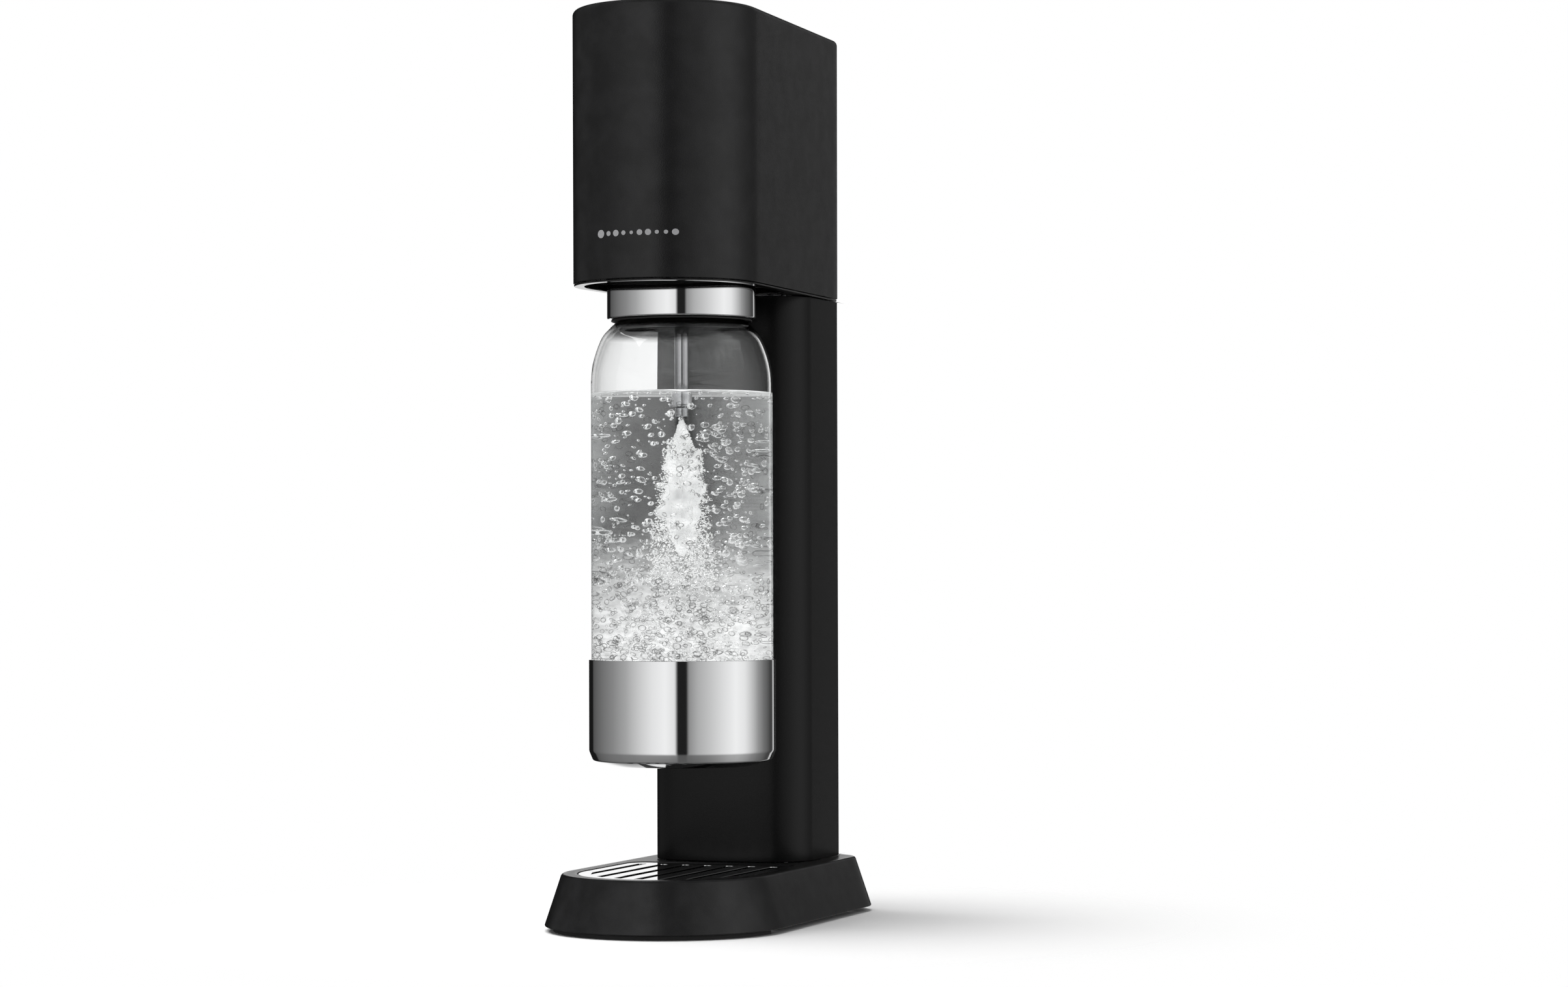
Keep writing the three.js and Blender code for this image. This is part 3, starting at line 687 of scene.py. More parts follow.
# %% Grille tree
def grille_tree():
    tree, given, result = geometry_tree("slotted_plate", [
        ("Slots", INT, 8), ("Pitch", FLOAT, 0.0093), ("Slot Width", FLOAT, 0.003),
        ("Nose Radius", FLOAT, 0.037), ("Nose Y", FLOAT, 0.0), ("Rear Y", FLOAT, 0.0),
        ("Thickness", FLOAT, 0.002), ("Lip", FLOAT, 0.0004), ("Material", MATERIAL, None)])
    g = given.outputs
    first = math_node(tree, "MULTIPLY", math_node(tree, "SUBTRACT", g["Slots"], 1.0), -0.5)
    first = math_node(tree, "MULTIPLY", first, g["Pitch"])
    start = node(tree, "ShaderNodeCombineXYZ", {0: first})
    step = node(tree, "ShaderNodeCombineXYZ", {0: g["Pitch"]})
    row = node(tree, "GeometryNodeMeshLine", {"Count": g["Slots"],
                                              "Start Location": start.outputs[0],
                                              "Offset": step.outputs[0]})
    bar = node(tree, "GeometryNodeCurvePrimitiveQuadrilateral", {"Width": g["Slot Width"],
                                                                 "Height": 0.01})
    slots = node(tree, "GeometryNodeInstanceOnPoints", {"Points": row.outputs[0],
                                                        "Instance": bar.outputs[0]})
    real = node(tree, "GeometryNodeRealizeInstances", {0: slots.outputs[0]})
    # A slot's two rear corners go to the rear line, and its two front ones to the nose curve.
    here = node(tree, "ShaderNodeSeparateXYZ", {0: node(
        tree, "GeometryNodeInputPosition").outputs[0]})
    x, y = here.outputs[0], here.outputs[1]
    across = math_node(tree, "SUBTRACT", math_node(tree, "MULTIPLY", g["Nose Radius"],
                                                   g["Nose Radius"]),
                       math_node(tree, "MULTIPLY", x, x))
    front = math_node(tree, "SUBTRACT", g["Nose Y"], math_node(tree, "SQRT", across))
    length = math_node(tree, "SUBTRACT", g["Rear Y"], front)
    at_rear = math_node(tree, "GREATER_THAN", y, 0.0)
    moved = math_node(tree, "ADD", front, math_node(tree, "MULTIPLY", at_rear, length))
    corner = node(tree, "ShaderNodeCombineXYZ", {0: x, 1: moved})
    drawn = node(tree, "GeometryNodeSetPosition", {"Geometry": real.outputs[0],
                                                   "Position": corner.outputs[0]})
    rear_line = math_node(tree, "SUBTRACT", g["Rear Y"], 0.001)
    rounding = math_node(tree, "MULTIPLY", math_node(tree, "GREATER_THAN", y, rear_line),
                         math_node(tree, "MULTIPLY", g["Slot Width"], 0.4))
    rounding = math_node(tree, "ADD", rounding, math_node(tree, "MULTIPLY", g["Lip"], 0.8))
    ends = node(tree, "GeometryNodeFilletCurve", {"Curve": drawn.outputs[0], "Radius": rounding,
                                                  "Limit Radius": True})
    ends.mode = "POLY"
    ends.inputs["Count"].default_value = 6
    rim = node(tree, "GeometryNodeMeshToCurve", {0: g["Geometry"]})
    edges = node(tree, "GeometryNodeJoinGeometry")
    tree.links.new(rim.outputs[0], edges.inputs[0])
    tree.links.new(ends.outputs[0], edges.inputs[0])
    filled = node(tree, "GeometryNodeFillCurve", {0: edges.outputs[0]})
    thick = node(tree, "GeometryNodeExtrudeMesh", {"Mesh": filled.outputs[0],
                                                   "Offset Scale": g["Thickness"],
                                                   "Individual": False})
    turned_over = node(tree, "GeometryNodeFlipFaces", {0: filled.outputs[0]})
    profile = node(tree, "GeometryNodeCurvePrimitiveCircle", {"Resolution": 8,
                                                              "Radius": g["Lip"]})
    lips = node(tree, "GeometryNodeCurveToMesh", {"Curve": edges.outputs[0],
                                                  "Profile Curve": profile.outputs[0]})
    drop = node(tree, "ShaderNodeCombineXYZ", {2: math_node(tree, "SUBTRACT", g["Thickness"],
                                                            g["Lip"])})
    raised = node(tree, "GeometryNodeTransform", {"Geometry": lips.outputs[0],
                                                  "Translation": drop.outputs[0]})
    whole = node(tree, "GeometryNodeJoinGeometry")
    for part in (thick, turned_over, raised):
        tree.links.new(part.outputs[0], whole.inputs[0])
    solid = node(tree, "GeometryNodeRealizeInstances", {0: whole.outputs[0]})
    painted = node(tree, "GeometryNodeSetMaterial", {"Geometry": solid.outputs[0],
                                                     "Material": g["Material"]})
    tree.links.new(painted.outputs[0], result.inputs[0])
    return tree


# %% Grille
GRILLE_BORDER = 5.2 * MM
grille_lip = 0.3 * MM
outline = recess_plan(FIT + grille_lip)
plate = bpy.data.meshes.new("drip_grille_plate")
plate.from_pydata(lift(outline, 0), [(i, (i + 1) % len(outline)) for i in range(len(outline))], [])
grille = run_tree(add_object("drip_grille_plate", plate), grille_tree(), {
    "Slots": 7, "Pitch": 11.3 * MM, "Slot Width": 4.6 * MM, "Nose Y": nose_y,
    "Nose Radius": grille_high.x - GRILLE_BORDER, "Rear Y": grille_high.y - GRILLE_BORDER - 4 * MM,
    "Thickness": grille_high.z - grille_low.z, "Lip": grille_lip, "Material": chrome})
grille.data.transform(Matrix.Translation((0, 0, grille_low.z)))
soften(grille.data)
give(grille, chrome, "grille", "chrome", "drip_grille")

# %% [markdown]
# ## Column
# The column is a tall shell with a gently bowed front and round corners, and its rear cover closes
# it with the same outline. Both are straight from bottom to top, so each is a board as tall as the
# column, whose outline runs round the outside of the wall and back along the inside.

# %% Column plan
column_low, column_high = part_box("column_shell")
cover_low, cover_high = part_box("rear_cover")
COLUMN_WALL = 2.4 * MM
BOW = 110 * MM
FRONT_CORNER = 20 * MM
REAR_CORNER = 12 * MM


def column_side(inset, seam_y):
    """The +X half of the column's outline, from the middle of the front to the seam."""
    half, front = column_high.x, column_low.y
    x = half - FRONT_CORNER
    bow_y = front + BOW
    y = bow_y - math.sqrt((BOW - FRONT_CORNER) ** 2 - x ** 2)
    turn = math.atan2(x, bow_y - y)
    points = arc(0, bow_y, BOW - inset, -PI / 2, -PI / 2 + turn, 12)
    points += arc(x, y, FRONT_CORNER - inset, -PI / 2 + turn, 0, 16)
    return points + [(half - inset, seam_y)]


def mirrored(points):
    return [(-x, y) for x, y in reversed(points)]


def shell_outline(outer, inner):
    """A wall's outline: the outside from left to right, then the inside back."""
    return mirrored(outer) + outer[1:] + list(reversed(inner)) + [(-x, y) for x, y in inner[1:]]


# %% Column shell
def column_shell():
    outer = column_side(0, column_high.y)
    inner = column_side(COLUMN_WALL, column_high.y)
    return board("column_shell_wall", [shell_outline(outer, inner)], column_low.z, column_high.z,
                 0.35 * MM)


give(column_shell(), column_black, "frame", "satin_black", "column_shell")


# %% Rear cover
def cover_side(inset):
    """The +X half of the cover's outline, from the middle of the back to the seam."""
    x, y = cover_high.x - REAR_CORNER, cover_high.y - REAR_CORNER
    points = [(0, cover_high.y - inset)] + arc(x, y, REAR_CORNER - inset, PI / 2, 0, 16)
    return points + [(cover_high.x - inset, cover_low.y)]


def rear_cover():
    made = board("rear_cover_wall", [shell_outline(cover_side(0), cover_side(COLUMN_WALL))],
                 cover_low.z, cover_high.z, 0.35 * MM)
    low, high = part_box("cover_latch")
    gap = Vector((FIT, 0.02, FIT))
    cutter = soft_block("latch_opening", low - gap, high + gap, 0.2 * MM)
    modifier = made.modifiers.new("opening", "BOOLEAN")
    modifier.object = cutter
    modifier.operation = "DIFFERENCE"
    made = bake(made)
    bpy.data.objects.remove(cutter)
    return made


give(rear_cover(), column_black, "rear_cover", "satin_black", "rear_cover")
latch_low, latch_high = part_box("cover_latch")
give(soft_block("cover_latch_key", latch_low, latch_high, 0.5 * MM), inner_black, "latch",
     "inner_black", "cover_latch")

# %% [markdown]
# ## Head
# The head is one tall cap with a rounded nose. Its top is closed but for the round button, so the
# skin goes up the outside, over the edge, in to the button's hole, down through it, and back along
# the inside to the lower edge. Outline and hole have the same number of points: each point of the
# hole lies on the line from the hole's centre to the outline's point.

# %% Head shell
head_low, head_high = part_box("head_shell")
button_low, button_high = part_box("carbonation_button")
rim_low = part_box("head_rim")[0]
HEAD_TAPER = math.radians(1.8)
HEAD_WALL = 2.6 * MM
LIP_HEIGHT = 1.1 * MM  # how far the rim shows below the shell
head_nose = head_low.y + head_high.x
head_plan = nose_plan(head_high.x, head_nose, head_high.y, 14 * MM, HEAD_TAPER)
button_y = (button_low.y + button_high.y) / 2


def hole_loop(outline, radius):
    loop = []
    for x, y in outline:
        reach = math.hypot(x, y - button_y)
        loop.append((x / reach * radius, button_y + (y - button_y) / reach * radius))
    return loop


def head_shell():
    z0, z1 = rim_low.z + LIP_HEIGHT, head_high.z
    outside = rounded([(HEAD_WALL, z0 + 0.1 * MM, 0), (0.2 * MM, z0, 0.5 * MM), (0, z1, 3 * MM),
                       (6 * MM, z1, 0)], 0.5 * MM, steps=6)
    loops = [lift(head_plan(a), z) for a, z, _ in outside]
    wear = [w for *_, w in outside]
    hole = button_high.x + 0.5 * MM
    for radius, z, w in rounded([(hole + 2 * MM, z1, 0), (hole, z1, 0.6 * MM),
                                 (hole, z1 - HEAD_WALL, 0)], 0.6 * MM):
        loops.append(lift(hole_loop(head_plan(0), radius), z))
        wear.append(w)
    loops.append(lift(head_plan(HEAD_WALL), z1 - HEAD_WALL))
    wear.append(0)
    return skin("head_shell_cap", loops, wear, closed=True)


give(head_shell(), satin_black, "frame", "satin_black", "head_shell")

# %% Carbonation button
stem = 4 * MM
give(turned("carbonation_button_cap", 0, button_y, [
    (0, button_low.z), (stem, button_low.z), (stem, button_high.z - 7.5 * MM),
    (button_high.x, button_high.z - 7.5 * MM), (button_high.x, button_high.z, 0.8 * MM),
    (button_high.x - 3 * MM, button_high.z, 1 * MM), (0, button_high.z - 1.2 * MM)], 0.4 * MM),
    satin_black, "button", "satin_black", "carbonation_button")

# %% [markdown]
# ## Spring under the button
# A wound steel spring lifts the button. It is swept along a helix.


# %% Button spring
def coil(name, x, y, low_z, high_z, radius, wire, turns):
    loops = []
    steps = turns * 28
    for i in range(steps + 1):
        angle = 2 * PI * turns * i / steps
        out = Vector((math.cos(angle), math.sin(angle), 0))
        z = low_z + wire + (high_z - low_z - 2 * wire) * i / steps
        centre = Vector((x, y, z)) + out * radius
        loops.append([centre + out * a + Vector((0, 0, b)) for a, b in circle_plan(0, 0, 8)(wire)])
    return skin(name, loops, [0] * len(loops))


spring_low, spring_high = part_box("button_spring")
spring = give(coil("button_spring_coil", 0, button_y, spring_low.z, spring_high.z - 0.3 * MM,
                   7.2 * MM, 0.7 * MM, 5), steel, "frame", "steel", "button_spring")
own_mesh(spring)

# %% [markdown]
# ## Under the head
# A rim closes the head from below. It has a wide opening at the front, where a black lining forms
# the recess that the collar swings in, and a round one at the back for the gas cylinder.

# %% Head rim
liner_low, liner_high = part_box("recess_liner")
cylinder_low, cylinder_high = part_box("co2_cylinder")
LIP = 5.4 * MM
LINER_WALL = 1.6 * MM
recess_half = head_high.x - LIP
head_recess = nose_plan(recess_half, head_nose, liner_high.y - LINER_WALL, 8 * MM, HEAD_TAPER)
cylinder_y = (cylinder_low.y + cylinder_high.y) / 2
passage = arc(0, cylinder_y, cylinder_high.x + 1.5 * MM, 0, 2 * PI, 64)[:-1]
give(board("head_rim_plate", [head_plan(0.5 * MM), head_recess(0), passage], rim_low.z,
           rim_low.z + LIP_HEIGHT - FIT, 0.4 * MM), gloss_black, "frame", "inner_black", "head_rim")

# %% Recess lining
give(wrap("recess_lining", head_recess, [
    (6 * MM, liner_high.z - LINER_WALL, 0), (0, liner_high.z - LINER_WALL, 2 * MM),
    (0, liner_low.z, 0.3 * MM), (-LINER_WALL, liner_low.z, 0.3 * MM),
    (-LINER_WALL, liner_high.z, 2 * MM), (6 * MM, liner_high.z, 0)], 0.5 * MM),
    inner_black, "frame", "inner_black", "recess_liner")

# %% [markdown]
# ## Collar, chrome ring and nozzle
# These are turned parts. The ring is polished, so its section is a plain band with small radii: the
# light it mirrors does the rest. The nozzle hangs down the middle of the bottle.

# %% Collar
collar_low, collar_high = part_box("bottle_collar")
ring_low, ring_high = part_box("collar_ring")
COLLAR_TOP = 312 * MM
lip_radius = collar_high.x
give(turned("bottle_collar_body", 0, AXIS_Y, [
    (lip_radius - 0.8 * MM, collar_low.z), (lip_radius, collar_low.z),
    (lip_radius, ring_low.z - FIT), (32.6 * MM, ring_low.z - FIT), (32.6 * MM, COLLAR_TOP),
    (8 * MM, COLLAR_TOP), (8 * MM, COLLAR_TOP - 3 * MM), (24 * MM, COLLAR_TOP - 3 * MM),
    (24 * MM, 292 * MM), (26.5 * MM, 290.5 * MM), (30 * MM, 288.5 * MM)], 0.25 * MM, closed=True,
    sides=128), inner_black, "holder", "inner_black", "bottle_collar")
for side, x in (("left", -32), ("right", 28)):
    ear = soft_block(f"collar_ear_{side}", (x * MM, AXIS_Y + 8 * MM, 306 * MM),
                     ((x + 4) * MM, collar_high.y, collar_high.z), 0.6 * MM)
    give(ear, inner_black, "holder", "inner_black")

# %% Chrome ring
RING_WALL = 2.4 * MM
give(turned("collar_ring_band", 0, AXIS_Y, [
    (ring_high.x - RING_WALL, ring_low.z), (ring_high.x, ring_low.z, 0.9 * MM),
    (ring_high.x, ring_high.z, 0.9 * MM), (ring_high.x - RING_WALL, ring_high.z)], 0.2 * MM,
    closed=True, sides=160, steps=6), chrome, "holder", "chrome", "collar_ring")


# %% Nozzle
def sleeve(name, node_name, bore, slot, edge=0.2 * MM, steps=()):
    """A tube as wide as its node. Steps are points up its outside where it narrows."""
    low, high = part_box(node_name)
    side = [(high.x, low.z), *steps]
    profile = [(bore, low.z), *side, (side[-1][0], high.z), (bore, high.z)]
    made = turned(name, 0, AXIS_Y, profile, edge, closed=True, sides=48)
    return give(made, pipe_grey, "holder", slot, node_name)


sleeve("nozzle_tube_pipe", "nozzle_tube", 1.2 * MM, "inner_black")
body_low, body_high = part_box("nozzle_body")
sleeve("nozzle_body_barrel", "nozzle_body", 1.2 * MM, "inner_black", steps=[
    (body_high.x, body_low.z + 1 * MM), (3.6 * MM, body_low.z + 1.1 * MM)])
tip_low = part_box("nozzle_tip")[0]
sleeve("nozzle_tip_jet", "nozzle_tip", 0.6 * MM, "steel", edge=0.5 * MM)

# %% [markdown]
# ## Bottle, base cup and water
# The bottle is blown in one piece: a straight wall, a round shoulder and a neck that goes up into
# the collar. The water fills it to the nozzle and reaches a hair's breadth into the wall, because a
# gap of air between wall and water would mirror light that the real bottle lets through.

# %% Bottle
WALL = 1.3 * MM
SHOULDER = [(43, 257), (42.4, 264), (40.9, 270), (38.7, 276), (36.8, 279.4), (34.4, 282),
            (32.4, 284), (28.5, 287), (24, 289.4), (20, 290.5)]


def smooth_curve(points, steps=6):
    """A smooth line through the points."""
    padded = [points[0]] + points + [points[-1]]
    line = []
    for a, b, c, d in zip(padded, padded[1:], padded[2:], padded[3:]):
        for k in range(steps):
            t = k / steps
            line.append(tuple(0.5 * (2 * q + (r - p) * t + (2 * p - 5 * q + 4 * r - s) * t * t
                                     + (3 * q - p - 3 * r + s) * t ** 3)
                              for p, q, r, s in zip(a, b, c, d)))
    return line + [points[-1]]


def bottle_section():
    foot, top = bottle_low.z, bottle_high.z
    radius = bottle_high.x
    neck = 20 * MM
    shoulder = [(r * MM, z * MM, 0) for r, z in smooth_curve(SHOULDER)]
    outer = [(0, foot, 0), (radius - 1 * MM, foot, 6 * MM), (radius, foot + 8 * MM, 2 * MM)]
    outer += shoulder
    outer += [(neck, 294 * MM), (neck + 3 * MM, 294 * MM), (neck + 3 * MM, 297 * MM),
              (neck, 297 * MM), (neck, top), (neck - WALL, top)]
    inner = [(max(r - WALL, 18.7 * MM), z - WALL * 0.75, 0) for r, z, _ in reversed(shoulder)]
    inner += [(radius - WALL, foot + 8 * MM, 2 * MM), (radius - WALL - 1 * MM, foot + WALL, 5 * MM),
              (0, foot + WALL, 0)]
    return outer + inner


give(turned("bottle_glass", 0, AXIS_Y, bottle_section(), 0.4 * MM, sides=160, smooth=60),
     bottle_clear, "bottle", "clear_plastic", "bottle_body")

# %% Base cup
cup_low, cup_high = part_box("bottle_base_cup")
cup_radius = cup_high.x
cup_inside = cup_radius - 0.8 * MM
give(turned("base_cup_shell", 0, AXIS_Y, [
    (0, cup_low.z), (34 * MM, cup_low.z, 6 * MM), (42.4 * MM, cup_low.z + 2.6 * MM, 1.6 * MM),
    (cup_radius, cup_low.z + 7 * MM, 4 * MM), (cup_radius, cup_high.z, 0.4 * MM),
    (cup_inside, cup_high.z, 0.2 * MM), (cup_inside, cup_low.z + 7 * MM, 4 * MM),
    (42 * MM, cup_low.z + 3.6 * MM, 0.8 * MM), (33.6 * MM, cup_low.z + 1.2 * MM),
    (0, cup_low.z + 1.2 * MM)], 0.4 * MM, sides=160, steps=10),
    chrome, "bottle", "chrome", "bottle_base_cup")

# %% Water
WATER_LEVEL = 251.3 * MM
SOAK = 0.12 * MM  # how far the water reaches into the bottle's wall
water_radius = bottle_high.x - WALL + SOAK
give(turned("water_body", 0, AXIS_Y, [
    (0, bottle_low.z + WALL - SOAK), (water_radius - 1 * MM, bottle_low.z + WALL - SOAK, 5 * MM),
    (water_radius, bottle_low.z + 8 * MM, 2 * MM), (water_radius, WATER_LEVEL + 0.3 * MM, 0),
    (water_radius - 0.5 * MM, WATER_LEVEL, 0), (0, WATER_LEVEL)], 0.4 * MM, sides=160,
    smooth=60), water_clear, "bottle", "clear_plastic")
# A thin polished grey ring at the water's edge stands in for the meniscus: painted reflection.
give(turned("water_line", 0, AXIS_Y, [
    (water_radius - 0.75 * MM, WATER_LEVEL + 0.1 * MM),
    (water_radius - 0.3 * MM, WATER_LEVEL + 0.1 * MM),
    (water_radius - 0.3 * MM, WATER_LEVEL + 0.55 * MM)], 0.1 * MM, closed=True, sides=160),
    pipe_grey, "bottle", "clear_plastic")

# %% [markdown]
# ## Gas cylinder and inner parts
# The cylinder stands in the column behind the rear cover. It is bare aluminium at the shoulder, with
# painted bands below. The parts inside the head keep their own shapes and get their finishes.


# %% Cylinder paint
def cylinder_paint():
    material = finish("cylinder_enamel", (0.62, 0.05, 0.20), 0.25, dust=0.03, wear=0.2, coat=0.3)
    tree = material.node_tree
    shader = tree.nodes["Principled BSDF"]
    painted = shader.inputs["Base Color"].links[0].from_socket
    height = object_height(tree)
    low_edge = cylinder_low.z + 52 * MM
    high_edge = cylinder_low.z + 232 * MM
    ripple = math_node(tree, "MULTIPLY_ADD", clouds(tree, 25.0), 12 * MM, height)
    blue = math_node(tree, "LESS_THAN", ripple, low_edge + 6 * MM)
    bare = math_node(tree, "GREATER_THAN", height, high_edge)
    lower = mix_colors(tree, blue, painted, (0.02, 0.30, 0.62, 1))
    upper = mix_colors(tree, bare, lower, (0.72, 0.73, 0.74, 1))
    tree.links.new(upper, shader.inputs["Base Color"])
    tree.links.new(bare, shader.inputs["Metallic"])
    return material


# %% Cylinder
def gas_cylinder():
    z0, z1, radius = cylinder_low.z, cylinder_high.z, cylinder_high.x
    shoulder = z1 - 31 * MM
    return turned("gas_cylinder_bottle", 0, cylinder_y, [
        (0, z0 + 1 * MM), (20 * MM, z0), (radius, z0, 5 * MM), (radius, shoulder, 20 * MM),
        (radius - 9 * MM, shoulder + 17 * MM, 12 * MM), (13 * MM, shoulder + 24 * MM, 4 * MM),
        (13 * MM, z1), (10.6 * MM, z1), (10.6 * MM, z1 - 10 * MM), (0, z1 - 10 * MM)], 0.5 * MM,
        sides=128, steps=10, smooth=50)


give(gas_cylinder(), cylinder_paint(), "cylinder", "cylinder_enamel", "co2_cylinder")

# %% Finishes of the parts that keep their own shape
KEPT = {
    inner_black: ["base_bottom_plate", "button_guide", "cylinder_handle"],
    rubber: ["gas_hose", "bottle_seal"],
    brass: ["cylinder_valve", "valve_block", "relief_valve", "hose_fitting"],
    white_plastic: ["nozzle_head"],
    steel: ["chassis_plate", "actuator_lever", "lever_pin", "valve_pin",
            "holder_pin_left", "holder_pin_right", "handle_pin_left", "handle_pin_right"],
}
for material, names in KEPT.items():
    for name in names:
        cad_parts[name].data.materials.clear()
        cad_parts[name].data.materials.append(material)
print("kept parts:", sum(len(names) for names in KEPT.values()))

# %% [markdown]
# ## Screws
# All the screws are the same pan head with a cross recess, so one is modelled and a geometry nodes
# tree puts it on a point for each, turned up or down as the point says.


# %% One screw
def screw_model():
    """A screw whose head's underside is at the origin and whose shaft points up."""
    return turned("screw_model", 0, 0, [
        (0, -0.5 * MM), (0.5 * MM, -0.9 * MM), (1.2 * MM, -1.15 * MM), (3 * MM, -1.15 * MM, 0.9 * MM),
        (3 * MM, 0), (1.45 * MM, 0), (1.45 * MM, 10.2 * MM), (0, 11 * MM)], 0.2 * MM, sides=24)


def screws_tree():
    tree, given, result = geometry_tree("screws_on_points", [
        ("Screw", "NodeSocketObject", None), ("Material", MATERIAL, None)])
    model = node(tree, "GeometryNodeObjectInfo", {"Object": given.outputs["Screw"]})
    flip = node(tree, "GeometryNodeInputNamedAttribute", {"Name": "flip"}, data_type="FLOAT")
    tip = node(tree, "ShaderNodeCombineXYZ", {0: math_node(tree, "MULTIPLY", flip.outputs[0], PI)})
    turn = node(tree, "FunctionNodeEulerToRotation", {0: tip.outputs[0]})
    placed = node(tree, "GeometryNodeInstanceOnPoints", {
        "Points": given.outputs["Geometry"], "Instance": model.outputs["Geometry"],
        "Rotation": turn.outputs[0]})
    real = node(tree, "GeometryNodeRealizeInstances", {0: placed.outputs[0]})
    painted = node(tree, "GeometryNodeSetMaterial", {"Geometry": real.outputs[0],
                                                     "Material": given.outputs["Material"]})
    tree.links.new(painted.outputs[0], result.inputs[0])
    return tree


# %% All the screws
def all_screws():
    names = sorted(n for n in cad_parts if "_screw_" in n)
    points, flips = [], []
    for name in names:
        low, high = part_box(name)
        down = name.startswith("chassis") or name in ("column_screw_3", "column_screw_4")
        z = high.z - 1.2 * MM if down else low.z + 1.2 * MM
        points.append(((low.x + high.x) / 2, (low.y + high.y) / 2, z))
        flips.append(1.0 if down else 0.0)
    mesh = bpy.data.meshes.new("screws")
    mesh.from_pydata(points, [], [])
    mesh.attributes.new("flip", "FLOAT", "POINT").data.foreach_set("value", flips)
    model = screw_model()
    made = run_tree(add_object("screws", mesh), screws_tree(), {"Screw": model, "Material": steel})
    bpy.data.objects.remove(model)
    soften(made.data)
    return give(made, steel, "frame", "steel", *names)


all_screws()

# %% [markdown]
# ## Gas jet and bubbles
# Gas leaves the nozzle as a white cone of tiny bubbles, breaks up lower down, and fills the bottom
# of the bottle with a dense mass of bubbles. Clear single bubbles drift through the rest of the
# water. A geometry nodes tree scatters them from a fixed seed, and says for each swarm how wide and
# high it is and how its width grows downwards.


# %% Bubble swarm tree
def swarm_tree():
    tree, given, result = geometry_tree("bubble_swarm", [
        ("Count", INT, 100), ("Seed", INT, 1), ("Top", FLOAT, 0.2), ("Bottom", FLOAT, 0.1),
        ("Top Radius", FLOAT, 0.01), ("Bottom Radius", FLOAT, 0.04), ("Spread Power", FLOAT, 0.5),
        ("Height Power", FLOAT, 1.0), ("Smallest", FLOAT, 0.0003), ("Largest", FLOAT, 0.001),
        ("Size Power", FLOAT, 2.0), ("Squash", FLOAT, 0.25), ("Detail", INT, 1),
        ("Cluster", FLOAT, 0.0), ("Wobble", FLOAT, 0.0), ("Material", MATERIAL, None)])
    g = given.outputs

    def chance(offset):
        seed = math_node(tree, "ADD", g["Seed"], float(offset))
        value = node(tree, "FunctionNodeRandomValue", {"Seed": seed}, data_type="FLOAT")
        return value.outputs[1]

    points = node(tree, "GeometryNodePoints", {"Count": g["Count"]})
    down = math_node(tree, "POWER", chance(0), g["Height Power"])
    drop = math_node(tree, "SUBTRACT", g["Bottom"], g["Top"])
    z = math_node(tree, "ADD", g["Top"], math_node(tree, "MULTIPLY", down, drop))
    growth = math_node(tree, "SUBTRACT", g["Bottom Radius"], g["Top Radius"])
    widest = math_node(tree, "ADD", g["Top Radius"], math_node(tree, "MULTIPLY", down, growth))
    reach = math_node(tree, "MULTIPLY", widest,
                      math_node(tree, "POWER", chance(1), g["Spread Power"]))
    angle = math_node(tree, "MULTIPLY", chance(2), 2 * PI)
    x = math_node(tree, "MULTIPLY", reach, math_node(tree, "COSINE", angle))
    y = math_node(tree, "MULTIPLY", reach, math_node(tree, "SINE", angle))
    spot = node(tree, "ShaderNodeCombineXYZ", {0: x, 1: y, 2: z})
    placed = node(tree, "GeometryNodeSetPosition", {"Geometry": points.outputs[0],
                                                    "Position": spot.outputs[0]})
    clouds = node(tree, "ShaderNodeTexNoise", {"Scale": 55.0, "Detail": 1.0})
    sparse = math_node(tree, "LESS_THAN", clouds.outputs[0], g["Cluster"])
    kept = node(tree, "GeometryNodeDeleteGeometry", {"Geometry": placed.outputs[0],
                                                     "Selection": sparse})
    size = math_node(tree, "POWER", chance(3), g["Size Power"])
    size = math_node(tree, "ADD", g["Smallest"], math_node(
        tree, "MULTIPLY", size, math_node(tree, "SUBTRACT", g["Largest"], g["Smallest"])))
    flat = math_node(tree, "MULTIPLY", size, math_node(
        tree, "SUBTRACT", 1.0, math_node(tree, "MULTIPLY", chance(4), g["Squash"])))
    shape = node(tree, "ShaderNodeCombineXYZ", {0: size, 1: size, 2: flat})
    lean = node(tree, "FunctionNodeRandomValue", {"Seed": math_node(tree, "ADD", g["Seed"], 5.0)},
                data_type="FLOAT_VECTOR")
    lean.inputs[0].default_value = (-0.7, -0.7, 0.0)
    lean.inputs[1].default_value = (0.7, 0.7, 2 * PI)
    turn = node(tree, "FunctionNodeEulerToRotation", {0: lean.outputs[0]})
    ball = node(tree, "GeometryNodeMeshIcoSphere", {"Radius": 1.0, "Subdivisions": g["Detail"]})
    swarm = node(tree, "GeometryNodeInstanceOnPoints", {
        "Points": kept.outputs[0], "Instance": ball.outputs[0], "Rotation": turn.outputs[0],
        "Scale": shape.outputs[0]})
    real = node(tree, "GeometryNodeRealizeInstances", {0: swarm.outputs[0]})
    bumps = node(tree, "ShaderNodeTexNoise", {"Scale": 420.0, "Detail": 0.0})
    out = math_node(tree, "MULTIPLY", math_node(tree, "SUBTRACT", bumps.outputs[0], 0.5),
                    g["Wobble"])
    push = node(tree, "ShaderNodeVectorMath", {
        0: node(tree, "GeometryNodeInputNormal").outputs[0]}, operation="SCALE")
    tree.links.new(out, push.inputs["Scale"])
    shaped = node(tree, "GeometryNodeSetPosition", {"Geometry": real.outputs[0],
                                                    "Offset": push.outputs[0]})
    painted = node(tree, "GeometryNodeSetMaterial", {"Geometry": shaped.outputs[0],
                                                     "Material": g["Material"]})
    tree.links.new(painted.outputs[0], result.inputs[0])
    return tree


